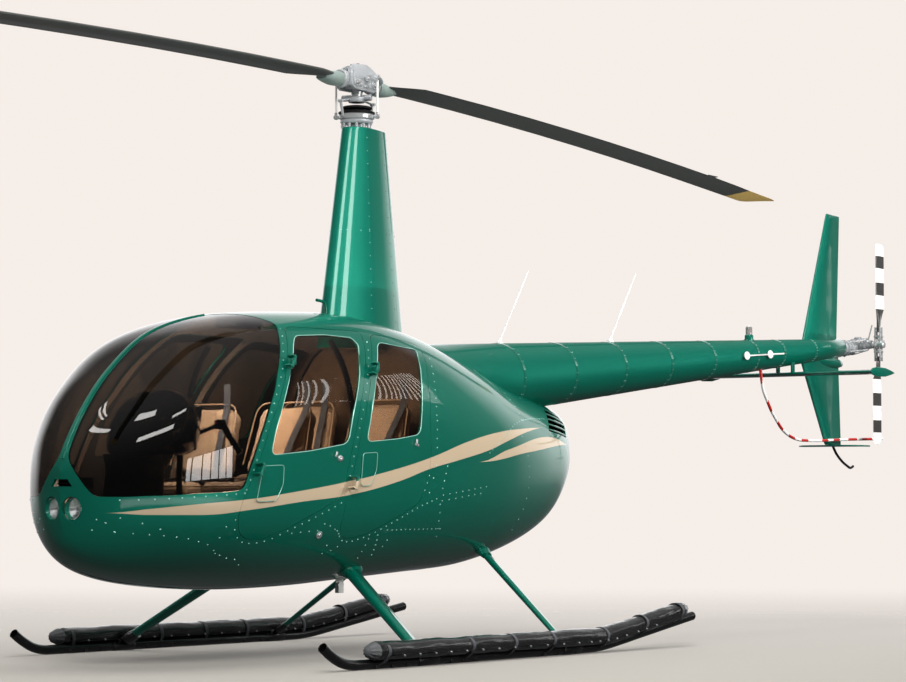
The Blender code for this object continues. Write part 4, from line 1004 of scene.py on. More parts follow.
def padForm(corners, thick, rounding):
    # a slab between two long edges, its corners rounded in plan, a little smaller than the finished pad
    bm = bmesh.new()
    addSlab(bm, corners, thick)
    upright = [e for e in bm.edges
        if abs((e.verts[0].co - e.verts[1].co).normalized().dot(thick.normalized())) > 0.9]
    bevelEdges(bm, upright, rounding, 5)
    bmesh.ops.recalc_face_normals(bm, faces=bm.faces)
    return bm


def capOff(bm, low, high):
    # keeps a pad inside its space on the sheet-metal base
    for vert in bm.verts:
        for i in range(3):
            vert.co[i] = min(max(vert.co[i], low[i]), high[i])
    return bm


swell = 0.014
for seatName, seat in seats.items():
    frontX, rearX, lowZ, topZ = seat["cushion"]
    inner, outer = seatSide
    cushion = padForm([(frontX - swell, inner + swell, lowZ + 0.012),
        (frontX - swell, outer - swell, lowZ + 0.012), (rearX + swell, outer - swell, lowZ + 0.012),
        (rearX + swell, inner + swell, lowZ + 0.012)], Vector((0, 0, topZ - lowZ - 0.026)), 0.045)
    cushion = capOff(puffed(cushion, 0.024), (rearX, inner, lowZ), (frontX, outer, topZ + 0.02))
    footX, headX, footZ, headZ, thick = seat["back"]
    lean = Vector((headX - footX, 0, headZ - footZ)).normalized()
    ahead = Vector((lean.z, 0, -lean.x))
    foot, head = Vector((footX, 0, footZ)) + lean * swell, Vector((headX, 0, headZ)) - lean * swell
    back = padForm([foot + Vector((0, inner + swell, 0)), foot + Vector((0, outer - swell, 0)),
        head + Vector((0, outer - swell - 0.035, 0)), head + Vector((0, inner + swell + 0.035, 0))],
        ahead * (thick - 0.02), 0.075)
    back = puffed(back, 0.024)
    for sideName, side in bothSides:
        for partName, pad in (("Cushion", cushion), ("Back", back)):
            made = pad.copy() if side > 0 else mirrored(pad)
            piece = makePiece(made, f"{seatName}Seat{partName}_{sideName}", leather,
                (f"{seatName}_seat_{sideName}",), angle=180, flip=False)
            fine = piece.modifiers.new("fine", "SUBSURF")
            fine.levels = fine.render_levels = 1
        # welted seams: a leather cord round the cushion's top edge and up the back's edge
        welt = bmesh.new()
        y0, y1 = side * (inner + 0.012), side * (outer - 0.012)
        ring = roundCorners([(frontX - 0.006, y0, topZ - 0.014), (frontX - 0.006, y1, topZ - 0.014),
            (rearX + 0.02, y1, topZ - 0.01), (rearX + 0.02, y0, topZ - 0.01)], 0.05, 5)
        addRings(welt, pathRings(ring, 0.0045, 8, alongZ), closed=True, caps=False)
        up = foot + ahead * (thick - 0.012)
        over = head + ahead * (thick - 0.012)
        arch = roundCorners([(up.x, y0, up.z), (over.x, y0 + side * 0.03, over.z),
            (over.x, y1 - side * 0.03, over.z), (up.x, y1, up.z)], 0.08, 6)[6:-6]
        addTube(welt, arch, 0.0045, 8, alongX)
        makePiece(welt, f"{seatName}SeatWelts_{sideName}", leather)
        # lap and shoulder belt with its buckle
        belt = bmesh.new()
        beltY = side * (inner + 0.4) if side > 0 else side * (inner + 0.1)
        strap = curved([head + ahead * (thick + 0.012) + Vector((0, beltY, 0.1)),
            head + ahead * (thick + 0.014) + Vector((0, beltY, -0.03)),
            head.lerp(foot, 0.5) + ahead * (thick + 0.02) + Vector((0, beltY * 0.9, 0)),
            head.lerp(foot, 0.9) + ahead * (thick + 0.022) + Vector((0, beltY * 0.82, 0))], 6)
        addTube(belt, strap, 0.024, 8, flat=0.07)
        lap = curved([(rearX + 0.03, side * (inner + 0.01), topZ + 0.022),
            (rearX + 0.1, side * 0.16, topZ + 0.03), (rearX + 0.13, side * 0.27, topZ + 0.032),
            (rearX + 0.1, side * 0.38, topZ + 0.03), (rearX + 0.03, side * (outer - 0.01),
            topZ + 0.022)], 5)
        addTube(belt, lap, 0.024, 8, alongX, flat=0.07)
        makePiece(belt, f"{seatName}Belts_{sideName}", webbing)
        buckle = addBox(bmesh.new(), (rearX + 0.105, side * 0.27 - 0.03, topZ + 0.03),
            (rearX + 0.15, side * 0.27 + 0.03, topZ + 0.044), 0.005)
        makePiece(buckle, f"{seatName}Buckle_{sideName}", brightSteel)
print("seats made")

# Console: height, half width, rear x and front x
console = {
    "pedestal": [(0.622, 0.125, 1.675, 1.955), (0.8, 0.12, 1.68, 1.93), (1.0, 0.125, 1.67, 1.89),
        (1.085, 0.165, 1.64, 1.88)],
    "hood": [(1.08, 0.18, 1.52, 1.85), (1.105, 0.225, 1.475, 1.86), (1.165, 0.245, 1.455, 1.85),
        (1.245, 0.248, 1.46, 1.825), (1.32, 0.228, 1.478, 1.775), (1.378, 0.185, 1.508, 1.715),
        (1.412, 0.115, 1.548, 1.665), (1.424, 0.045, 1.58, 1.625)],
}
for name, square, finish in (("pedestal", 7, blackPlastic), ("hood", 2.6, glossBlack)):
    rings = []
    for z, half, rearX, frontX in console[name]:
        rings.append(ovalRing(((rearX + frontX) / 2, 0, z), (0, 0, 1), half, (frontX - rearX) / 2, 40,
            square=square))
    stands = ("instrument_console",) if name == "hood" else ()
    makePiece(addRings(bmesh.new(), rings), f"console_{name}", finish, stands, angle=50)
panel = bmesh.new()
tilt = Matrix.Rotation(math.radians(-12), 3, "Y")
addBox(panel, (1.52, -0.205, 1.105), (1.535, 0.205, 1.335), 0.003, turn=tilt)
makePiece(panel, "instrumentPanel", blackPlastic)
dials, needles = bmesh.new(), bmesh.new()
for row, (z, count) in enumerate(((1.275, 4), (1.2, 5), (1.135, 4))):
    for column in range(count):
        y = (column - (count - 1) / 2) * 0.082
        spot = Vector((1.52 + (z - 1.22) * 0.21, y, z))
        addLathe(dials, [(0.0, 0.0), (0.001, 0.027), (0.004, 0.03), (0.006, 0.033), (0.0, 0.035)], spot,
            tilt @ Vector((-1, 0, 0)), 24)
        hand = Matrix.Rotation(0.7 + 1.9 * column + row, 3, "X")
        addBox(needles, spot + Vector((-0.004, -0.0012, -0.002)), spot + Vector((-0.003, 0.0012, 0.02)),
            turn=hand)
makePiece(dials, "panelDials", darkSteel, angle=30)
makePiece(needles, "dialNeedles", whitePaint)

stick = bmesh.new()
addTube(stick, curved([(1.44, 0, 0.621), (1.445, 0, 0.8), (1.45, 0, 1.0), (1.44, 0, 1.15)], 4), 0.017,
    16)
barLow, barHigh = Vector((1.44, -0.36, 1.064)), Vector((1.44, 0.275, 1.241))
addTube(stick, [barLow, barLow.lerp(barHigh, 0.4), Vector((1.44, 0, 1.164)), barHigh], 0.0115, 14,
    alongX)
addBox(stick, (1.415, -0.03, 1.12), (1.465, 0.03, 1.185), 0.008)
for end, out in ((barHigh, 1), (barLow, -1)):
    addBox(stick, end - Vector((0.026, 0.022, 0.026)), end + Vector((0.026, 0.022, 0.026)), 0.008)
    grip = curved([end + Vector((0, out * 0.012, 0.01)), end + Vector((-0.012, out * 0.04, -0.045)),
        end + Vector((-0.03, out * 0.085, -0.115)), end + Vector((-0.04, out * 0.105, -0.15))], 5)
    addTube(stick, grip, [0.017] * 3 + [0.0155, 0.0175] * 5 + [0.018] * 3, 16, alongX)
makePiece(stick, "cyclicTee", blackPlastic, ("cyclic_stick",))
buttons = bmesh.new()
for end in (barHigh, barLow):
    addLathe(buttons, [(0.0, 0.0), (0.0, 0.007), (0.01, 0.007), (0.012, 0.0)],
        end + Vector((0.025, 0, 0.008)), (1, 0, 0), 16)
makePiece(buttons, "gripButtons", redPaint)
pedals = bmesh.new()
for y in (0.1, 0.24, -0.1, -0.24):
    addBox(pedals, (1.83, y - 0.042, 0.665), (1.845, y + 0.042, 0.755), 0.004,
        turn=Matrix.Rotation(0.5, 3, "Y"))
    addRod(pedals, (1.845, y, 0.67), (1.875, y, 0.621), 0.008, 12)
makePiece(pedals, "tailPedals", darkSteel)
levers = bmesh.new()
for y in (0.525, -0.012):
    addTube(levers, curved([(0.99, y, 0.8), (1.16, y, 0.9), (1.33, y, 0.965)], 4), 0.012, 12)
    addTube(levers, [(1.3, y, 0.955), (1.35, y, 0.972), (1.42, y, 0.995)], 0.018, 14)
makePiece(levers, "collectiveLevers", blackPlastic)
# roof switch box, and tube ribs arched round the inside of the skin
overhead = addBox(bmesh.new(), (0.88, -0.075, 1.775), (1.1, 0.075, 1.835), 0.012)
makePiece(overhead, "overheadBox", blackPlastic)
ribs = bmesh.new()
for x in (0.75, -0.02):
    for side in (1, -1):
        arch = [onHull(x, z, side, -0.026)[0] for z in (0.66, 0.85, 1.05, 1.25, 1.45, 1.6, 1.72)]
        addTube(ribs, curved(arch, 3), 0.016, 10, alongX)
makePiece(ribs, "cabinRibs", blackPlastic)
print("cabin made")

# Mast fairing: height, reach ahead of the mast and behind it, half width
fairing = {
    "rows": [(1.7, 0.3, 0.425, 0.145), (2.3, 0.2037, 0.3444, 0.1142), (2.95, 0.0994, 0.257, 0.0808),
        (2.962, 0.097, 0.255, 0.08), (2.965, 0.091, 0.248, 0.074)],
    "sides": 72,
}


def fairingRing(z, ahead, behind, half):
    ring = []
    for c, s in circlePoints(fairing["sides"]):
        ring.append(Vector((ahead * c if c > 0 else behind * c, half * s
            * (1 if c > 0 else 1 + c * 0.35), z)))
    return ring


def onFairing(z, around, side=1):
    # a point on the mast fairing and its outward direction
    (z0, *low), (z1, *high) = fairing["rows"][0], fairing["rows"][2]
    ahead, behind, half = [a + (b - a) * (z - z0) / (z1 - z0) for a, b in zip(low, high)]
    spots = []
    for angle in (around - 0.01, around, around + 0.01):
        c, s = math.cos(angle), math.sin(angle)
        spots.append(Vector((ahead * c if c > 0 else behind * c, half * s
            * (1 if c > 0 else 1 + c * 0.35), z)))
    along = (spots[2] - spots[0]).normalized()
    normal = along.cross(alongZ)
    spots[1].y *= side
    return spots[1], Vector((normal.x, normal.y * side, 0.12)).normalized()


mast = addRings(bmesh.new(), [fairingRing(*row) for row in fairing["rows"]])
makePiece(mast, "mastFairing", green, ("mast_fairing",), angle=50)
mastRivets, aftRivets = bmesh.new(), bmesh.new()
for side in (1, -1):
    for around, lowZ in ((1.5, 1.93), (2.3, 1.87), (2.95, 1.87)):
        for step in range(15):
            spot, normal = onFairing(lowZ + 0.075 * step, around, side)
            if step * 0.075 + lowZ < 2.93:
                addRivet(mastRivets if around < 2 else aftRivets, spot, normal, 0.0036)
    for around in (0.35, 0.6, 1.15, 1.5, 2.15, 2.3, 2.85, 3.0):
        spot, normal = onFairing(2.37, around, side)
        addRivet(mastRivets if around < 2 else aftRivets, spot, normal, 0.0036)
# the pale finish of these rivets is a painted highlight
makePiece(mastRivets, "mastRivets", paleHighlightPaint, angle=20)
makePiece(aftRivets, "mastAftRivets", darkSteel, angle=20)

# Rotor head: drawn with the blades along X, then turned to their place
spin = Matrix.Rotation(math.radians(4.7), 4, "Z")
head = {"links": (-0.045, 0.112)}
bladeRoot = {1: 3.241, -1: 3.229}


def turned(bm):
    bmesh.ops.transform(bm, matrix=spin, verts=bm.verts)
    return bm


fixed = bmesh.new()
addLathe(fixed, [(2.957, 0.0), (2.957, 0.052), (2.985, 0.052), (2.989, 0.088), (2.997, 0.094),
    (3.008, 0.094), (3.012, 0.088), (3.012, 0.0)], steps=48)
for i in range(12):
    angle = 2 * math.pi * i / 12 + 0.2
    spot = Vector((0.083 * math.cos(angle), 0.078 * math.sin(angle) - 0.002, 2.962))
    addRod(fixed, spot, spot + Vector((0, 0, 0.022 + 0.006 * (i % 2))), 0.0095, 6, bevel=0.0012)
    addRod(fixed, spot + alongZ * 0.02, spot + alongZ * 0.042, 0.006, 12)
makePiece(fixed, "swashplateLower", castAlloy, ("swashplate_fixed",), angle=30)

ring = addLathe(bmesh.new(), [(3.0135, 0.0), (3.0135, 0.094), (3.018, 0.1015), (3.036, 0.103),
    (3.042, 0.098), (3.043, 0.0)], steps=64)
boots = bmesh.new()
addLathe(boots, [(3.0432, 0.0), (3.0432, 0.098), (3.047, 0.1045), (3.055, 0.1045), (3.06, 0.094),
    (3.061, 0.06), (3.068, 0.058), (3.071, 0.08), (3.075, 0.088), (3.083, 0.088), (3.088, 0.078),
    (3.093, 0.05), (3.097, 0.0)], steps=56)
arms = bmesh.new()
for side in (1, -1):
    linkX, linkY = side * head["links"][0], side * head["links"][1]
    addBox(arms, (min(linkX, linkX * 0.5) - 0.008, min(linkY, linkY * 0.6), 3.021),
        (max(linkX, linkX * 0.5) + 0.008, max(linkY, linkY * 0.6), 3.037), 0.004)
    addRod(arms, (linkX - 0.014, linkY, 3.03), (linkX + 0.014, linkY, 3.03), 0.006, 12)
    # drive pins of the collar
    addRod(arms, (side * -0.012, side * 0.03, 3.138), (side * -0.026, side * 0.084, 3.138), 0.018, 20,
        bevel=0.003)
    # scissor arms between the mast collar and the turning ring
    joint = Vector((side * 0.118, side * -0.03, 3.112))
    addTube(arms, [(side * 0.045, side * -0.012, 3.13), joint], 0.01, 10, flat=0.6)
    addTube(arms, [joint, (side * 0.098, side * -0.026, 3.028)], 0.009, 10, flat=0.6)
    addPin(arms, joint, alongY * 0.015, 0.009, 12, bevel=0.001)
addLathe(arms, [(3.112, 0.03), (3.112, 0.046), (3.118, 0.05), (3.138, 0.05), (3.143, 0.044),
    (3.143, 0.03)], steps=40)
makePiece(turned(ring), "swashplateUpper", brightSteel, ("swashplate_turning",),
    angle=30, body="main_rotor")
makePiece(turned(boots), "mastBoots", rubber, angle=35, body="main_rotor")
makePiece(turned(arms), "scissorArms", castAlloy, body="main_rotor")

links = bmesh.new()
ends = bmesh.new()
for side in (1, -1):
    foot = Vector((side * head["links"][0], side * head["links"][1], 3.03))
    top = foot + alongZ * 0.223
    addRod(links, foot + alongZ * 0.018, top - alongZ * 0.018, 0.0065, 14)
    for end in (foot, top):
        addPin(ends, end, alongX * 0.008, 0.014, 20, bevel=0.002)
        addPin(ends, end, alongX * 0.016, 0.006, 12)
    for z in (0.02, -0.02):
        base = (foot if z > 0 else top) + alongZ * z
        addPin(ends, base, alongZ * 0.006, 0.0095, 6, bevel=0.0008)
makePiece(turned(links), "pitchLinks", whitePaint, body="main_rotor")
makePiece(turned(ends), "pitchLinkEnds", brightSteel, body="main_rotor")

shaft = addLathe(bmesh.new(), [(3.14, 0.0), (3.14, 0.029), (3.158, 0.029), (3.16, 0.033), (3.172, 0.033),
    (3.174, 0.029), (3.325, 0.029), (3.33, 0.024), (3.332, 0.0)], steps=32)
makePiece(turned(shaft), "mastShaft", brightSteel, body="main_rotor")
hub = bmesh.new()
plate = [(-0.112, 3.185), (-0.128, 3.268), (-0.114, 3.286), (-0.044, 3.318), (-0.008, 3.326),
    (0.1, 3.318), (0.138, 3.3), (0.15, 3.262), (0.132, 3.196), (0.1, 3.178), (-0.09, 3.174)]
for side in (1, -1):
    outline = [(x * side, side * 0.04, z) for x, z in plate]
    addSlab(hub, outline, (0, side * 0.02, 0), 0.003)
    # milled pad on the outer face, tapering aft
    pad = [(0.119, 3.222), (0.122, 3.279), (-0.068, 3.286), (-0.07, 3.272)]
    addSlab(hub, [(x * side, side * 0.059, z) for x, z in pad], (0, side * 0.006, 0), 0.0015)
    for x in (-0.084, 0.092):
        addLathe(hub, [(0.036, 0.0), (0.036, 0.026), (0.062, 0.026), (0.068, 0.022), (0.069, 0.0)],
            (x * side, 0, 3.216), (0, side, 0), 28)
    addLathe(hub, [(0.036, 0.0), (0.036, 0.024), (0.06, 0.022), (0.061, 0.0)], (0.0, 0, 3.244),
        (0, side, 0), 28)
addBox(hub, (-0.052, -0.042, 3.3), (0.04, 0.042, 3.322), 0.004)
addBox(hub, (-0.06, -0.042, 3.186), (0.06, 0.042, 3.212), 0.005)
makePiece(turned(hub), "hubPlates", castAlloy, ("rotor_hub",), angle=30,
    body="main_rotor")
bolts = bmesh.new()
for side in (1, -1):
    for x, z, size in ((-0.084, 3.216, 0.017), (0.092, 3.216, 0.017), (0.0, 3.244, 0.014)):
        addRod(bolts, (x * side, side * 0.06, z), (x * side, side * 0.08, z), size, 6, bevel=0.0015)
        addRod(bolts, (x * side, side * 0.078, z), (x * side, side * 0.09, z), size * 0.5, 16,
            bevel=0.001)
    for x in (-0.045, -0.015, 0.015, 0.045):
        addRod(bolts, (x, side * 0.06, 3.2), (x, side * 0.068, 3.2), 0.0065, 6)
    for x in (-0.03, 0.02):
        addRod(bolts, (x, side * 0.022, 3.32), (x, side * 0.022, 3.333), 0.01, 6, bevel=0.001)
makePiece(turned(bolts), "hubBolts", brightSteel, body="main_rotor")

for side, bladeName in ((1, "Fore"), (-1, "Aft")):
    face = Matrix.Rotation(0 if side > 0 else math.pi, 4, "Z")
    fork = bmesh.new()
    addLathe(fork, [(0.058, 0.0), (0.058, 0.028), (0.08, 0.034), (0.118, 0.036), (0.122, 0.047),
        (0.134, 0.049), (0.138, 0.043), (0.146, 0.043), (0.15, 0.052), (0.166, 0.054), (0.17, 0.048),
        (0.176, 0.046), (0.176, 0.0)], (0, 0, 3.213), (1, 0, 0), 40)
    for i in range(8):
        angle = math.pi * (i + 0.5) / 4
        spot = Vector((0.12, 0.04 * math.cos(angle), 3.213 + 0.04 * math.sin(angle)))
        addRod(fork, spot, spot + Vector((-0.01, 0, 0)), 0.0055, 6)
    # pitch horn, out to the link's upper end
    addTube(fork, curved([(0.15, -0.04, 3.215), (0.115, -0.088, 3.232), (0.052, -0.108, 3.252)], 4),
        0.015, 12, flat=0.75)
    rise = Matrix.Translation((0, 0, (bladeRoot[side] - 3.215) * 0.7))
    bmesh.ops.transform(fork, matrix=rise @ face, verts=fork.verts)
    makePiece(turned(fork), f"bladeGrip{bladeName}", castAlloy, body="main_rotor")
    cuff = bmesh.new()
    rows = [(0.174, 0.03, 0.024), (0.178, 0.048, 0.038), (0.205, 0.054, 0.042), (0.245, 0.055, 0.04),
        (0.29, 0.052, 0.031), (0.325, 0.046, 0.021), (0.345, 0.036, 0.012)]
    addRings(cuff, [ovalRing((x, -0.004, bladeRoot[side] - 0.012 - 0.002 * k), (1, 0, 0), wide, high, 28,
        square=2.3) for k, (x, wide, high) in enumerate(rows)])
    bmesh.ops.transform(cuff, matrix=face, verts=cuff.verts)
    makePiece(turned(cuff), f"bladeCuff{bladeName}", cuffPaint, angle=50,
        body="main_rotor")

# Main blades: radius, chord, thickness, and how far the section is slanted along the span
bladeRows = [(0.255, 0.11, 0.03, 0), (0.3, 0.15, 0.036, 0), (0.36, 0.214, 0.036, 0),
    *[(radius, 0.27, 0.035, 0) for radius in (0.43, 0.62, 1.1, 1.6, 2.1, 2.6, 3.1, 3.6, 4.1)],
    (4.45, 0.272, 0.034, 0.04), (4.69, 0.27, 0.033, 0.085), (4.692, 0.27, 0.0332, 0.085),
    (4.85, 0.262, 0.03, 0.05), (4.96, 0.246, 0.024, -0.06), (5.005, 0.226, 0.018, -0.12),
    (5.022, 0.206, 0.011, -0.14), (5.028, 0.196, 0.004, -0.15)]


def bladeDroop(radius):
    # how far the blade hangs below the hub at a radius
    return 0.21 * (radius / 5.03) ** 1.8


def foilRing(chord, thick, sides=36):
    # section points: x back from the quarter chord, z up, rounded nose, thin tail
    points = []
    for c, s in circlePoints(sides):
        points.append((chord * (0.3 * c if c > 0 else 0.7 * c), thick / 2 * s
            * (1 if c > 0 else 1 + 0.8 * c)))
    return points


for side, bladeName in ((1, "Fore"), (-1, "Aft")):
    blade = bmesh.new()
    rings = []
    for radius, chord, thick, slant in bladeRows:
        drop = bladeDroop(radius)
        rings.append([Vector((radius + slant * x / chord, x, bladeRoot[side] - drop + z))
            for x, z in foilRing(chord, thick)])
    addRings(blade, rings)
    for face in blade.faces:
        middle = face.calc_center_median()
        painted = middle.x > 4.66 + 0.32 * middle.y and min(v.co.x - 0.33 * v.co.y
            for v in face.verts) > 4.685
        face.material_index = 1 if painted else 0
    # trim tab on the trailing edge
    tabZ = bladeRoot[side] - bladeDroop(4.03)
    tab = addBox(bmesh.new(), (3.96, -0.212, tabZ - 0.0045), (4.1, -0.176, tabZ - 0.0015),
        turn=Matrix.Rotation(-0.16, 3, "X"))
    tabMesh = bpy.data.meshes.new("tab")
    tab.to_mesh(tabMesh)
    blade.from_mesh(tabMesh)
    tab.free()
    place = spin @ Matrix.Rotation(0 if side > 0 else math.pi, 4, "Z")
    bmesh.ops.transform(blade, matrix=place, verts=blade.verts)
    makePiece(blade, f"mainBlade{bladeName}", [bladePaint, goldPaint],
        (f"main_blade_{bladeName.lower()}",), angle=50, body="main_rotor")
print("rotor made")

# Tail cone, its seams and rivets
cone = {
    "front": (-0.8, 1.5387, 0.2322),
    "rear": (-5.56, 1.9634, 0.0671),
    "axis": (-1, 0, 0.089),
    "seams": (-1.355, -1.935, -2.52, -3.09, -3.655, -4.25, -4.63, -5.1),
}


def coneAt(x):
    (x0, z0, r0), (x1, z1, r1) = cone["front"], cone["rear"]
    t = (x - x0) / (x1 - x0)
    return z0 + (z1 - z0) * t, r0 + (r1 - r0) * t


places = []
for seam in cone["seams"]:
    places += [(seam + 0.0015, 0.0), (seam, 0.0014)]
# the front end is domed and reaches forward under the cowl
places = [(-0.2, -0.19), (-0.24, -0.13), (-0.34, -0.065), (-0.46, -0.025), (-0.6, -0.006),
    (-0.72, 0.0)] + places
places += [(-5.548, 0.0014), (-5.56, -0.006)]
rings = []
for x, extra in places:
    z, radius = coneAt(x)
    size = radius + extra * (0.6 if extra > 0 else 1)
    rings.append(ovalRing((x, 0, z), cone["axis"], size, size, 64))
tail = addRings(bmesh.new(), rings)
makePiece(tail, "tailConeSkin", green, ("tail_cone",), angle=30)
bands = bmesh.new()
tailRivets = bmesh.new()
for seam in cone["seams"]:
    z, radius = coneAt(seam)
    rows = []
    for off, rise in ((0.013, -0.002), (0.0125, 0.0016), (-0.0125, 0.0016), (-0.013, -0.002)):
        high, size = coneAt(seam + off)
        rows.append(ovalRing((seam + off, 0, high), cone["axis"], size + rise, size + rise, 64))
    addRings(bands, rows)
    for i in range(26):
        angle = 2 * math.pi * i / 26
        for off in (0.007, -0.007):
            away = Vector((0, math.cos(angle), math.sin(angle)))
            addRivet(tailRivets, Vector((seam + off, 0, coneAt(seam + off)[0]))
                + away * (radius + 0.0012), away, 0.0034)
makePiece(bands, "tailConeSplices", green, angle=30)
# the pale finish of these rivets is a painted highlight
makePiece(tailRivets, "tailConeRivets", paleHighlightPaint, angle=20)


# air outlet on the port shoulder of the cone: a teardrop blister, open at its rear, with a black plug set in
# its mouth as painted shade of the opening's inside
outlet, outletShadePlug = bmesh.new(), bmesh.new()
nozzle = [(-0.7, 0.01), (-0.8, 0.04), (-0.92, 0.062), (-1.02, 0.07), (-1.1, 0.068), (-1.102, 0.062),
    (-1.03, 0.056)]
for bm, rows in ((outlet, nozzle), (outletShadePlug, [(-1.06, 0.059), (-1.045, 0.052)])):
    addRings(bm, [ovalRing((x, 0.13 - (x + 0.9) * 0.05, 1.64 - (x + 0.9) * 0.1), (-1, 0.05, 0.12),
        size * 0.72, size, 32) for x, size in rows])
makePiece(outlet, "coneOutlet", green, angle=50)
makePiece(outletShadePlug, "coneOutletDark", rubber)


# Fins and stabilizer
def finPiece(name, outline, rootHalf, tipHalf, stands):
    lead0, lead1, trail1, trail0 = [Vector((x, 0, z)) for x, z in outline]
    rings = []
    for t, share in ((0, 1), (0.25, 1), (0.5, 1), (0.75, 1), (0.965, 1), (0.985, 0.9), (0.996, 0.6),
            (1.0, 0.2)):
        lead, trail = lead0.lerp(lead1, t), trail0.lerp(trail1, t)
        half = (rootHalf + (tipHalf - rootHalf) * t) * share
        inset = 0.5 * (1 - share) * 0.03
        rings.append([(lead.lerp(trail, inset)).lerp(trail.lerp(lead, inset), 0.3 - x)
            + Vector((0, y, 0)) for x, y in foilRing(1.0, 2 * half, 40)])
    return makePiece(addRings(bmesh.new(), rings), name, green, stands, angle=45)


finPiece("upperFin", [(-5.0, 1.9), (-5.384, 2.934), (-5.576, 2.925), (-5.52, 1.9)], 0.034, 0.016,
    ("upper_fin",))
finPiece("lowerFin", [(-4.98, 1.9), (-5.353, 1.255), (-5.585, 1.255), (-5.55, 1.94)], 0.028, 0.02,
    ("lower_fin",))
stab = {"lead": -4.76, "trail": -5.06, "half": 0.71, "z": 1.745, "thick": 0.034}
rings = []
for y, share in ((-1, 0.0), (-0.995, 0.35), (-0.985, 0.7), (-0.965, 1.0), (-0.5, 1.0), (0, 1.0),
        (0.5, 1.0), (0.965, 1.0), (0.985, 0.7), (0.995, 0.35), (1, 0.0)):
    chord = stab["lead"] - stab["trail"]
    thick = stab["thick"] * max(0.12, share)
    rings.append([Vector((stab["lead"] - 0.3 * chord + x, y * (stab["half"] - 0.01), stab["z"] + z))
        for x, z in foilRing(chord, thick, 40)])
makePiece(addRings(bmesh.new(), rings), "stabilizerSkin", green,
    ("horizontal_stabilizer",), angle=45)
caps = bmesh.new()
for side in (1, -1):
    # tip plate: a flat plate, pointed behind and ahead, deepest over the leading third
    upper = [(-4.735, 0.0), (-4.765, 0.022), (-4.83, 0.034), (-4.95, 0.03), (-5.035, 0.014),
        (-5.085, 0.0)]
    outline = [(x, stab["z"] + z) for x, z in upper] + [(x, stab["z"] - z) for x, z in upper[-2:0:-1]]
    addSlab(caps, [(x, side * 0.704, z) for x, z in outline], (0, side * 0.008, 0), 0.002)
for y in (0.06, -0.06):
    z, radius = coneAt(-4.8)
    addBox(caps, (-4.815, y - 0.006, 1.755), (-4.775, y + 0.006, z - 0.055), 0.002)
makePiece(caps, "stabilizerCaps", green)
pod = addRings(bmesh.new(), [ovalRing((x, 0, z), (1, 0, -0.05), wide, high, 28)
    for x, z, wide, high in ((-5.15, 1.872, 0.006, 0.006), (-5.2, 1.866, 0.022, 0.024),
    (-5.3, 1.858, 0.032, 0.036), (-5.42, 1.854, 0.036, 0.04), (-5.52, 1.85, 0.034, 0.036),
    (-5.58, 1.85, 0.024, 0.026), (-5.6, 1.85, 0.008, 0.009))])
makePiece(pod, "tailPod", green, angle=60)

plate = []
for side in (1, -1):
    half = [(-5.335, 0.0), (-5.335, 0.12), (-5.35, 0.185), (-5.38, 0.232), (-5.43, 0.256), (-5.52, 0.26),
        (-5.556, 0.256), (-5.575, 0.235), (-5.58, 0.2)]
    plate += [(x, side * y) for x, y in (half[1:] if side > 0 else half[1:][::-1])]
bm = addSlab(bmesh.new(), [(x, y, 1.2425) for x, y in [(-5.335, 0.0)] + plate], (0, 0, 0.011))
bmesh.ops.recalc_face_normals(bm, faces=bm.faces)
bevelEdges(bm, [e for e in bm.edges if e.calc_face_angle(0) > 1.2], 0.003)
makePiece(bm, "lowerFinPlate", green, ("lower_fin_plate",))
hook = curved([(-5.47, 0, 1.245), (-5.52, 0, 1.192), (-5.6, 0, 1.14), (-5.68, 0, 1.106),
    (-5.725, 0, 1.093), (-5.765, 0, 1.105)], 5)
makePiece(addRings(bmesh.new(), pathRings(hook, 0.0095, 14)), "tailSkid", skidBlack,
    ("tail_skid",), angle=50)

# Rotor guard, sprayed in bands: where each band starts along x
guardLine = [(-4.37, 1.8), (-4.385, 1.72), (-4.415, 1.62), (-4.464, 1.551), (-4.518, 1.483),
    (-4.6, 1.408), (-4.668, 1.354), (-4.778, 1.306), (-4.9, 1.283), (-5.04, 1.28), (-5.25, 1.284),
    (-5.6, 1.298), (-6.12, 1.312)]
guardPath = curved([(x, 0.045, z) for x, z in guardLine], 16)
redBands = [(-4.3, -4.39), (-4.464, -4.518), (-4.6, -4.668), (-4.75, -4.833), (-4.925, -5.015),
    (-5.216, -5.303), (-5.39, -5.478), (-5.606, -5.724), (-5.821, -5.958)]
guard = addRings(bmesh.new(), pathRings(guardPath, 0.0105, 16))
for face in guard.faces:
    middle = face.calc_center_median().x
    face.material_index = 1 if any(start >= middle > end for start, end in redBands) else 0
makePiece(guard, "rotorGuard", [whitePaint, redPaint], ("tail_rotor_guard",), angle=50)

# Tail gearbox and rotor
tailHub = Vector((-5.85, 0.17, 2.0))
box = bmesh.new()
addLathe(box, [(0.0, 0.0), (0.0, 0.064), (0.012, 0.064), (0.014, 0.05), (0.06, 0.046), (0.064, 0.06),
    (0.078, 0.06), (0.082, 0.044), (0.12, 0.04), (0.124, 0.052), (0.14, 0.052), (0.146, 0.04),
    (0.2, 0.038), (0.215, 0.0)], (-5.562, 0, 1.9636), (-1, 0, 0.02), 36)
addLathe(box, [(-0.062, 0.0), (-0.062, 0.034), (-0.052, 0.046), (0.045, 0.048), (0.052, 0.04),
    (0.06, 0.04), (0.064, 0.048), (0.074, 0.048), (0.078, 0.034), (0.116, 0.03), (0.12, 0.0)],
    (tailHub.x, 0, tailHub.z), (0, 1, 0), 36)
addLathe(box, [(-0.052, 0.0), (-0.052, 0.026), (-0.046, 0.03), (0.05, 0.03), (0.058, 0.022),
    (0.06, 0.0)], (tailHub.x, 0, tailHub.z), (0, 0, 1), 24)
for i in range(8):
    angle = math.pi * i / 4
    for at in (0.013, 0.079):
        spot = Vector((-5.562 - at, 0.056 * math.cos(angle), 1.9636 + 0.056 * math.sin(angle)))
        addRod(box, spot, spot - alongX * 0.01, 0.0055, 6)
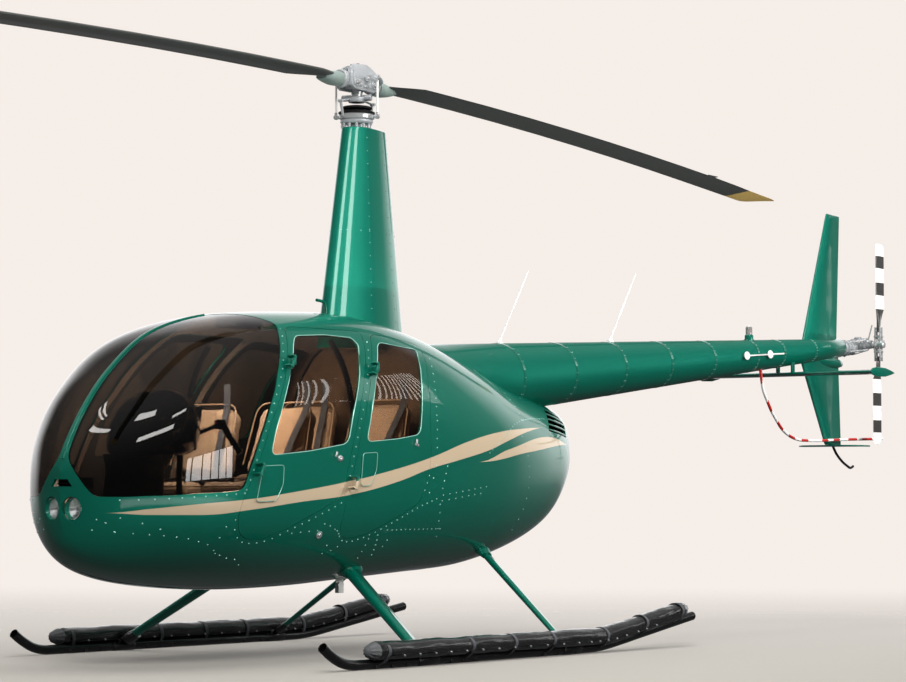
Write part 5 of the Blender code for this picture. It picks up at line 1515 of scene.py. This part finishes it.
for i in range(12):
    # cooling fins round the gear case
    ringX = -5.65 - 0.01 * i
    if i < 3 or i > 8:
        addLathe(box, [(0.0, 0.03), (0.0, 0.046), (0.004, 0.046), (0.004, 0.03)], (ringX, 0, 1.966),
            (-1, 0, 0), 28)
makePiece(box, "tailGearCase", castAlloy, ("tail_gearbox",), angle=30)
levers = bmesh.new()
addTube(levers, [(-5.6, 0.07, 1.935), (-5.72, 0.085, 1.95), (-5.8, 0.095, 1.955)], 0.007, 12)
addTube(levers, [(-5.58, -0.055, 1.985), (-5.74, -0.06, 2.02), (-5.82, -0.045, 2.03)], 0.006, 12)
addTube(levers, [(-5.73, 0.04, 1.93), (-5.77, 0.09, 1.95), (-5.815, 0.1, 1.96)], 0.009, 12)
addTube(levers, [(-5.7, 0.03, 2.01), (-5.77, 0.085, 2.03), (-5.825, 0.098, 2.033)], 0.007, 12)
makePiece(levers, "tailPitchLevers", brightSteel)

hub = bmesh.new()
addLathe(hub, [(-0.044, 0.0), (-0.044, 0.024), (-0.02, 0.026), (-0.016, 0.038), (-0.006, 0.04),
    (-0.002, 0.026), (0.03, 0.024), (0.034, 0.03), (0.044, 0.03), (0.05, 0.02), (0.052, 0.0)], tailHub,
    (0, 1, 0), 32)
for side in (1, -1):
    for y in (-0.02, 0.02):
        addBox(hub, tailHub + Vector((-0.022, y - 0.005, min(0, side * 0.125))),
            tailHub + Vector((0.022, y + 0.005, max(0, side * 0.125))), 0.003)
    addRod(hub, tailHub + Vector((0, -0.03, side * 0.098)), tailHub + Vector((0, 0.03, side * 0.098)),
        0.01, 16, bevel=0.001)
    addRod(hub, tailHub + Vector((0, -0.034, side * 0.055)), tailHub + Vector((0, 0.034, side * 0.055)),
        0.012, 6, bevel=0.001)
    addRod(hub, tailHub + Vector((side * 0.045, -0.062, side * 0.02)),
        tailHub + Vector((side * 0.04, -0.03, side * 0.14)), 0.0055, 12)
    addRod(hub, tailHub + Vector((side * -0.004, -0.062, 0)), tailHub
        + Vector((side * 0.052, -0.062, side * 0.024)), 0.008, 12)
makePiece(hub, "tailHub", brightSteel, ("tail_rotor_hub",), angle=30,
    body="tail_rotor")
# Tail blades: radius, chord, thickness
tailRows = [(0.09, 0.04, 0.024), (0.13, 0.05, 0.026), (0.175, 0.06, 0.022), (0.225, 0.092, 0.017),
    (0.262, 0.125, 0.014), (0.45, 0.125, 0.0135), (0.64, 0.125, 0.013), (0.712, 0.122, 0.012),
    (0.73, 0.112, 0.009), (0.7365, 0.096, 0.004)]
for name, up in (("Upper", 1), ("Lower", -1)):
    rings = [[tailHub + Vector((up * x, z, up * radius)) for x, z in foilRing(chord, thick, 32)]
        for radius, chord, thick in tailRows]
    makePiece(addRings(bmesh.new(), rings), f"tailBlade{name}", tailBands,
        (f"tail_blade_{name.lower()}",), angle=50, body="tail_rotor")

# Beacon, whip aerials, disc pair on the port side of the cone
z, radius = coneAt(-4.3)
beacon = {"at": Vector((-4.3, 0, z + radius))}
base = addLathe(bmesh.new(), [(-0.02, 0.0), (-0.02, 0.036), (0.004, 0.036), (0.008, 0.031),
    (0.03, 0.031), (0.036, 0.027), (0.036, 0.0)], beacon["at"], (0, 0, 1), 36)
makePiece(base, "beaconBase", green)
lens = addLathe(bmesh.new(), [(0.0365, 0.0), (0.0365, 0.024), (0.085, 0.024), (0.096, 0.021),
    (0.102, 0.0)], beacon["at"], (0, 0, 1), 36)
makePiece(lens, "beaconLens", beaconGlass, ("beacon",))
for name, x in (("front", -1.38), ("rear", -2.58)):
    z, radius = coneAt(x)
    foot = Vector((x, 0, z + radius))
    whip = bmesh.new()
    addLathe(whip, [(-0.012, 0.0), (-0.012, 0.024), (0.004, 0.024), (0.008, 0.013), (0.03, 0.009),
        (0.032, 0.0)], foot, (-0.25, 0, 1), 24)
    addRod(whip, foot + alongZ * 0.012, foot + Vector((-0.3, 0, 0.46)), 0.005, 12, 0.0025)
    makePiece(whip, f"whipAerial_{name}", whitePaint, (f"whip_aerial_{name}",))
discs = bmesh.new()
for x, z in ((-4.04, 1.838), (-4.37, 1.862)):
    _, radius = coneAt(x)
    addLathe(discs, [(-0.004, 0.0), (-0.004, 0.026), (0.0, 0.029), (0.004, 0.026), (0.004, 0.0)],
        (x, radius + 0.022, z), (0.15, 1, 0.05), 20)
    addRod(discs, (x, radius - 0.006, z), (x, radius + 0.02, z), 0.006, 10)
addTube(discs, [(-4.04, coneAt(-4.04)[1] + 0.014, 1.838), (-4.37, coneAt(-4.37)[1] + 0.014, 1.862),
    (-4.59, coneAt(-4.59)[1] + 0.008, 1.878)], 0.0055, 10)
makePiece(discs, "coneDiscPair", whitePaint)
print("tail made")

# Landing gear: legs, skids, stowed float bags
gear = {"skidY": 1.09, "skidRadius": 0.026, "bagY": 1.12, "bagZ": 0.092}
legs = {
    "front": {"top": (0.545, 0.415, 0.47), "foot": (0.745, 1.062, 0.052), "chord": 0.1},
    "rear": {"top": (-0.707, 0.33, 0.6), "foot": (-0.56, 1.062, 0.052), "chord": 0.062},
}
# The skid's middle line as x and height, and the bag's as x and rise over its level part
skidPath = [(1.58, 0.125), (1.52, 0.085), (1.44, 0.046), (1.357, 0.0285), (1.25, 0.026), (0.8, 0.026),
    (0.3, 0.026), (-0.2, 0.026), (-0.7, 0.026), (-0.84, 0.03), (-0.98, 0.045), (-1.25, 0.0855),
    (-1.53, 0.1275), (-1.815, 0.17)]
bagPath = [(1.27, 0.0), (0.7, 0.0), (0.0, 0.0), (-0.7, 0.0), (-0.84, 0.004), (-0.98, 0.019),
    (-1.34, 0.073), (-1.7, 0.127)]


def bagMesh(side):
    line = curved([(x, 0, gear["bagZ"] + rise) for x, rise in bagPath], 24)
    rings, sides = [], 44
    total = line[0].x - line[-1].x
    for spot in line:
        along = line[0].x - spot.x
        ends = min(along, total - along)
        fill = min(1.0, (ends / 0.075) ** 0.5) if ends > 0 else 0.0
        fill = 0.3 + 0.7 * fill
        lashed = 0.9 + 0.1 * min(1.0, abs(((along - 0.12) % 0.42) - 0.21) / 0.16) if ends > 0.1 else 1.0
        ring = []
        for i in range(sides):
            angle = 2 * math.pi * (i + 0.5) / sides
            c, s = math.cos(angle), math.sin(angle)
            fold = noise.noise(Vector((spot.x * 9.0, c * 2.6, s * 2.6 + 4 * side)))
            crease = noise.noise(Vector((spot.x * 34.0 + 7 * s, c * 1.6, s * 1.6)))
            pleat = 0.1 * math.sin(11 * angle) * max(0.0, 1 - ends / 0.1)
            radius = 0.056 * fill * (1 + 0.05 * fold + 0.045 * crease
                + pleat) * (1 - 0.5 * (1 - lashed) * (1 + s))
            ring.append(Vector((spot.x, side * gear["bagY"] + radius * c, spot.z + radius * 0.88 * s)))
        rings.append(ring)
    bm = addRings(bmesh.new(), rings)
    for face in bm.faces:
        middle = face.calc_center_median()
        face.material_index = 1 if middle.x > 1.215 or middle.x < -1.66 else 0
    return bm


for sideName, side in bothSides:
    skidY = side * gear["skidY"]
    line = curved([(x, skidY, z) for x, z in skidPath], 5)
    tube = bmesh.new()
    rings = pathRings(line, gear["skidRadius"], 28)
    nose = line[0] - line[1]
    inner = [ovalRing(line[0] - nose.normalized() * deep, nose, 0.0225, 0.0225, 28)
        for deep in (0.002, 0.045)]
    addRings(tube, [inner[1], inner[0]] + rings)
    addLathe(tube, [(0.0, 0.0), (0.0, 0.0255), (0.01, 0.0265), (0.016, 0.024), (0.018, 0.0)], line[-1],
        line[-1] - line[-2], 28)
    makePiece(tube, f"skidTube_{sideName}", skidBlack, (f"skid_{sideName}",), angle=40)
    shoes = bmesh.new()
    for x0, x1 in ((1.24, 0.86), (0.6, 0.3), (-0.2, -0.66)):
        addBox(shoes, (x1, skidY - 0.017, 0.0015), (x0, skidY + 0.017, 0.0065), 0.002)
        for k in range(3):
            x = x1 + (x0 - x1) * (k + 0.5) / 3
            addBox(shoes, (x - 0.012, skidY - 0.0275, 0.004), (x + 0.012, skidY + 0.0275, 0.02), 0.003)
    makePiece(shoes, f"skidShoes_{sideName}", darkSteel)

    bag = makePiece(bagMesh(side), f"floatBag_{sideName}", [bagCloth, bagEnd],
        (f"float_bag_{sideName}",), angle=180)
    # lacing strip with its studs along the lower edge, straps round bag and skid
    lacing, studs = bmesh.new(), bmesh.new()
    for edge in (1, -1):
        strip = [(spot.x, side * gear["bagY"] + edge * 0.0515, spot.z - 0.026)
            for spot in curved([(x, 0, gear["bagZ"] + rise) for x, rise in bagPath[:-1]], 10)[3:]]
        addTube(lacing, strip, 0.011, 10, flat=0.22)
        walked = 0.0
        for a, b in zip(strip, strip[1:]):
            walked += a[0] - b[0]
            if walked > 0.083:
                walked = 0.0
                addRod(studs, (b[0], b[1] + edge * 0.001, b[2]), (b[0], b[1] + edge * 0.0085,
                    b[2] - 0.001), 0.0062, 10, 0.0035)
    makePiece(lacing, f"bagLacing_{sideName}", bagCloth)
    makePiece(studs, f"bagStuds_{sideName}", brightSteel)
    straps = bmesh.new()
    for x in (1.15, 0.44, 0.06, -0.3, -0.82, -1.22, -1.6):
        rise = max(0.0, (-0.84 - x)) * 0.1485 + (0.004 if x < -0.8 else 0)
        middle = Vector((x, side * gear["bagY"], 0.088 + rise))
        turns = []
        for c, s in circlePoints(28):
            low = 0.9 + 0.3 * max(0.0, -s)
            sideways = side * (gear["bagY"] - 0.014 * max(0, -s)) + 0.0585 * c
            turns.append(Vector((x, sideways, middle.z + 0.0545 * s * low)))
        bands = []
        for off, lift in ((0.01, -0.003), (0.011, 0.0015), (-0.011, 0.0015), (-0.01, -0.003)):
            bands.append([p + alongX * off + (p - middle).normalized() * lift for p in turns])
        addRings(straps, bands, caps=False, closed=True)
    makePiece(straps, f"bagStraps_{sideName}", webbing, angle=50)

    for legName, leg in legs.items():
        top, foot = Vector(leg["top"]), Vector(leg["foot"])
        top.y, foot.y = top.y * side, foot.y * side
        along = (foot - top).normalized()
        chord = leg["chord"]
        rings = []
        for t, share in ((-0.1, 1.0), (0.25, 0.96), (0.5, 0.9), (0.75, 0.84), (0.93, 0.78)):
            spot = top.lerp(foot, t)
            ring = []
            for x, y in foilRing(chord * 1.16 * share, chord * 0.6 * share, 36):
                across = (alongX - along * along.x).normalized()
                ring.append(spot + across * (x + 0.1 * chord) + along.cross(across) * y)
            rings.append(ring)
        makePiece(addRings(bmesh.new(), rings), f"{legName}Leg_{sideName}", green,
            (f"{legName}_leg_{sideName}",), angle=50)
        fitting = bmesh.new()
        addTube(fitting, [foot - along * 0.085, foot - along * 0.06, foot - along * 0.015],
            [chord * 0.42, chord * 0.5, chord * 0.52], 28, alongX, flat=0.6)
        addRod(fitting, foot + Vector((-0.085, side * 0.028, -0.024)),
            foot + Vector((0.085, side * 0.028, -0.024)), 0.031, 28, bevel=0.004)
        for x in (-0.055, 0.055):
            addRod(fitting, foot + Vector((x, side * -0.004, -0.006)),
                foot + Vector((x, side * -0.012, 0.01)), 0.008, 6)
        makePiece(fitting, f"{legName}LegSaddle_{sideName}", skidBlack)
        # sleeve where the leg leaves the belly
        root = bmesh.new()
        spot, normal = onHull(top.x + 0.02, top.z - 0.01 if legName == "front" else top.z, side)
        collar = []
        for lift, grow in ((-0.02, 1.05), (0.004, 1.5), (0.016, 1.32), (0.036, 1.12), (0.048, 1.02)):
            center = top + along * ((spot - top).dot(along) + lift)
            collar.append(ovalRing(center, along, chord * 0.6 * grow, chord * 0.34 * grow, 32, alongX))
        addRings(root, collar)
        makePiece(root, f"{legName}LegSleeve_{sideName}", green, angle=50)
print("gear made")

# Camera, fitted to the photograph's viewing angle
view = {
    "place": (11.992, 9.809, 0.8643),
    "azimuth": -142.7618,
    "elevation": 3.2859,
    "roll": 0.1635,
    "lens": 108.66,
}
azimuth, elevation, roll = (math.radians(view[k]) for k in ("azimuth", "elevation", "roll"))
ahead = Vector((math.cos(azimuth) * math.cos(elevation), math.sin(azimuth) * math.cos(elevation),
    math.sin(elevation)))
right = ahead.cross(alongZ).normalized()
upward = right.cross(ahead)
camRight = right * math.cos(roll) + upward * math.sin(roll)
camUp = upward * math.cos(roll) - right * math.sin(roll)
camera = bpy.data.objects.new("camera", bpy.data.cameras.new("camera"))
scene.collection.objects.link(camera)
camera.data.lens, camera.data.sensor_width = view["lens"], 36.0
camera.data.clip_start, camera.data.clip_end = 0.5, 200
turn = Matrix((camRight, camUp, -ahead)).transposed().to_4x4()
camera.matrix_world = Matrix.Translation(Vector(view["place"]) + alongX * mastX) @ turn
scene.camera = camera

# Light: a pale cove behind the machine, a dim room behind the camera with strip lights, a large top light
world = bpy.data.worlds.new("studio")
world.use_nodes = True
scene.world = world
tree = world.node_tree
tree.nodes.clear()
place = addNode(tree, "TexCoord")
split = addNode(tree, "SeparateXYZ", links={0: place.outputs["Generated"]})
facing = addNode(tree, "VectorMath", {"operation": "DOT_PRODUCT", 1: (ahead.x, ahead.y, 0)},
    {0: place.outputs["Generated"]})
behind = addNode(tree, "MapRange", {"From Min": 0.64, "From Max": 0.78},
    {"Value": facing.outputs["Value"]})
# brightness by the sine of the elevation, from straight down to straight up
shades = {
    "cove": [(-1.0, 0.09), (-0.35, 0.05), (-0.2, 0.08), (-0.1, 0.18), (0.0, 0.85), (0.1, 1.35),
        (0.3, 1.25), (0.45, 0.75), (0.65, 0.48), (1.0, 0.4)],
    "hall": [(-1.0, 0.08), (-0.1, 0.05), (0.05, 0.05), (0.3, 0.07), (0.6, 0.16), (0.85, 0.32), (1.0, 0.4)],
}
elevation = addNode(tree, "MapRange", {"From Min": -1.0}, {"Value": split.outputs["Z"]})
ramps = {}
for name, steps in shades.items():
    ramps[name] = addNode(tree, "ValToRGB", links={0: elevation.outputs[0]})
    stops = ramps[name].color_ramp.elements
    while len(stops) < len(steps):
        stops.new(0.5)
    for stop, (spot, shade) in zip(stops, steps):
        stop.position, stop.color = (spot + 1) / 2, (shade, shade, shade * 1.01, 1)
around = addNode(tree, "Mix", {"data_type": "RGBA"}, {0: behind.outputs[0], 6: ramps["hall"].outputs[0],
    7: ramps["cove"].outputs[0]})
rays = addNode(tree, "LightPath")
room = addNode(tree, "Background", {"Strength": 1.0}, {"Color": around.outputs[2]})
wall = addNode(tree, "Background", {"Color": paintColor("#F6EEE8"), "Strength": 1.0})

bearing = addNode(tree, "Math", {"operation": "ARCTAN2"}, {0: split.outputs["Y"], 1: split.outputs["X"]})
# the lit floor in front of the machine, seen in the shoulder under the screens
level = addNode(tree, "Math", {"operation": "ADD", 1: 0.19}, {0: split.outputs["Z"]})
depth = addNode(tree, "Math", {"operation": "ABSOLUTE"}, {0: level.outputs[0]})
litFloor = addNode(tree, "MapRange", {"From Min": 0.07, "From Max": 0.03}, {"Value": depth.outputs[0]})
frontal = addNode(tree, "MapRange", {"From Min": -0.1, "From Max": -0.45},
    {"Value": facing.outputs["Value"]})
low, high = math.radians(24), math.radians(118)
beside = addNode(tree, "Math", {"operation": "COMPARE", 1: (low + high) / 2, 2: (high - low) / 2},
    {0: bearing.outputs[0]})
sill = addNode(tree, "Math", {"operation": "MULTIPLY"}, {0: litFloor.outputs[0], 1: frontal.outputs[0]})
band = addNode(tree, "Math", {"operation": "MULTIPLY"}, {0: sill.outputs[0], 1: beside.outputs[0]})
glow = addNode(tree, "Math", {"operation": "MULTIPLY", 1: 2.2}, {0: band.outputs[0]})

# What only mirrors in glass and lacquer: ceiling lamps, a far window with bars, the slats of a roof.
# Each row: degrees from and to, counted from ahead round to port; sine of the height from and to;
# brightness; how far it leans with height; distance between bars in radians, and their bright share
reflections = [(10, 37, 0.75, 0.8, 13, 0, 10, 1), (62, 72, 0.64, 0.668, 13, 0, 10, 1),
    (28, 66, 0.51, 0.56, 13, 0, 10, 1), (-62, -40, 0.755, 0.765, 13, 0, 10, 1),
    (-62, -40, 0.775, 0.785, 13, 0, 10, 1), (-45, -15, 0.69, 0.715, 13, 0, 10, 1),
    (82, 114, 0.0, 0.13, 10, 0, -0.105, 0.86), (131.2, 147.8, 0.275, 0.43, 6, -0.471, 0.0155, 0.28)]
for low, high, foot, top, bright, lean, pitch, share in reflections:
    low, high = math.radians(low), math.radians(high)
    turn = addNode(tree, "Math", {"operation": "MULTIPLY_ADD", 1: lean},
        {0: split.outputs["Z"], 2: bearing.outputs[0]})
    wide = addNode(tree, "Math", {"operation": "COMPARE", 1: (low + high) / 2, 2: (high - low) / 2},
        {0: turn.outputs[0]})
    tall = addNode(tree, "Math", {"operation": "COMPARE", 1: (foot + top) / 2, 2: (top - foot) / 2},
        {0: split.outputs["Z"]})
    count = addNode(tree, "Math", {"operation": "DIVIDE", 1: pitch}, {0: turn.outputs[0]})
    part = addNode(tree, "Math", {"operation": "FRACT"}, {0: count.outputs[0]})
    bars = addNode(tree, "Math", {"operation": "LESS_THAN", 1: share}, {0: part.outputs[0]})
    patch = addNode(tree, "Math", {"operation": "MULTIPLY"}, {0: wide.outputs[0], 1: tall.outputs[0]})
    barred = addNode(tree, "Math", {"operation": "MULTIPLY"}, {0: patch.outputs[0], 1: bars.outputs[0]})
    glow = addNode(tree, "Math", {"operation": "MULTIPLY_ADD", 1: bright},
        {0: barred.outputs[0], 2: glow.outputs[0]})
shown = addNode(tree, "Math", {"operation": "MULTIPLY"}, {0: glow.outputs[0],
    1: rays.outputs["Is Glossy Ray"]})
glints = addNode(tree, "Background", links={"Strength": shown.outputs[0]})
seen = addNode(tree, "AddShader", links={0: room.outputs[0], 1: glints.outputs[0]})
both = addNode(tree, "MixShader", links={0: rays.outputs["Is Camera Ray"], 1: seen.outputs[0],
    2: wall.outputs[0]})
addNode(tree, "OutputWorld", links={0: both.outputs[0]})
scene.view_settings.view_transform = "Standard"

# Lamps: place, what they face, size in metres, power in watts; "mirror" shows the lamp in gloss, "only"
# names the one piece it lights, and "spare" keeps its light off the floor
softBoxes = {
    "key": {"at": (8.0, 7.0, 7.0), "aim": (0.0, 0.0, 1.0), "size": (6, 4), "power": 1350},
    "top": {"at": (-1.0, 0.0, 8.5), "aim": (-1.0, 0.0, 0.0), "size": (11, 7), "power": 650},
    "leftWindow": {"at": (10.0, 3.2, 6.2), "aim": (0.0, 0.0, 2.4), "size": (4.4, 3.0), "power": 330,
        "mirror": True, "only": "mastFairing"},
    "rightWindow": {"at": (3.6, 9.9, 5.3), "aim": (0.0, 0.0, 2.4), "size": (3.4, 3.0), "power": 260,
        "mirror": True, "only": "mastFairing"},
    "footwell": {"at": (1.35, 0.0, 1.6), "aim": (0.9, 0.0, 1.1), "size": (0.3, 0.7), "power": 60},
    "side": {"at": (-6.0, 7.0, 4.5), "aim": (-0.6, 0.0, 1.2), "size": (4, 3), "power": 900, "spare": True},
    "bounce": {"at": (-0.4, 0.0, 2.05), "aim": (-0.4, 0.001, 3.2), "size": (10.4, 0.8), "power": 50,
        "spare": True},
    "cabin": {"at": (0.75, 0.0, 1.72), "aim": (0.72, 0.0, 1.0), "size": (0.9, 0.55), "power": 26},
}

# Pale floor that fades out into the backdrop, its colour darkened toward the camera as painted shade
floorPaint, tree, shader = newFinish("pale_studio_floor", "#A8A49D", 0.8, {"Specular IOR Level": 0.1})
bm = bmesh.new()
bmesh.ops.create_circle(bm, cap_ends=True, segments=96, radius=13.5)
floorMesh = bpy.data.meshes.new("studioFloor")
bm.to_mesh(floorMesh)
bm.free()
floorMesh.materials.append(floorPaint)
studioFloor = bpy.data.objects.new("studioFloor", floorMesh)
scene.collection.objects.link(studioFloor)
studioFloor.visible_glossy = studioFloor.visible_diffuse = False
studioFloor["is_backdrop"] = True
place = addNode(tree, "TexCoord")
near = addNode(tree, "VectorMath", {"operation": "DOT_PRODUCT", 1: (-ahead.x, -ahead.y, 0)},
    {0: place.outputs["Object"]})
# painted shade: the floor's colour goes darker toward the camera
paintedShadeShare = addNode(tree, "MapRange", {"From Min": -4.0, "From Max": 4.5}, {"Value": near.outputs["Value"]})
tone = addNode(tree, "Mix", {"data_type": "RGBA", 6: paintColor("#BDB9B2"), 7: paintColor("#A7A29A")},
    {0: paintedShadeShare.outputs[0]})
tree.links.new(tone.outputs[2], shader.inputs["Base Color"])
away = addNode(tree, "VectorMath", {"operation": "LENGTH"}, {0: place.outputs["Object"]})
far = addNode(tree, "MapRange", {"interpolation_type": "SMOOTHSTEP", "From Min": 4.0, "From Max": -11.5},
    {"Value": near.outputs["Value"]})
rim = addNode(tree, "MapRange", {"interpolation_type": "SMOOTHSTEP", "From Min": 4.0, "From Max": 13.0},
    {"Value": away.outputs["Value"]})
fade = addNode(tree, "Math", {"operation": "MAXIMUM"}, {0: far.outputs[0], 1: rim.outputs[0]})
clear = addNode(tree, "BsdfTransparent")
mixed = addNode(tree, "MixShader", links={0: fade.outputs[0], 1: shader.outputs[0], 2: clear.outputs[0]})
tree.links.new(mixed.outputs[0], tree.nodes["Material Output"].inputs["Surface"])

for name, box in softBoxes.items():
    lamp = bpy.data.lights.new(name, "AREA")
    lamp.shape, lamp.size, lamp.size_y, lamp.energy = "RECTANGLE", *box["size"], box["power"]
    holder = bpy.data.objects.new(name, lamp)
    holder.location = Vector(box["at"]) + Vector((mastX, 0, 0))
    toward = Vector(box["aim"]) - Vector(box["at"])
    holder.rotation_euler = toward.to_track_quat("-Z", "Y").to_euler()
    holder.visible_glossy, holder.visible_camera = "mirror" in box, False
    scene.collection.objects.link(holder)
    # a lamp may light one piece only, or all but the floor
    if "only" in box or "spare" in box:
        chosen = bpy.data.collections.new(name + "Receivers")
        chosen.objects.link(bpy.data.objects[box["only"]] if "only" in box else studioFloor)
        if "spare" in box:
            chosen.collection_objects[0].light_linking.link_state = "EXCLUDE"
        holder.light_linking.receiver_collection = chosen
print("camera, light and floor made")

low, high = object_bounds()
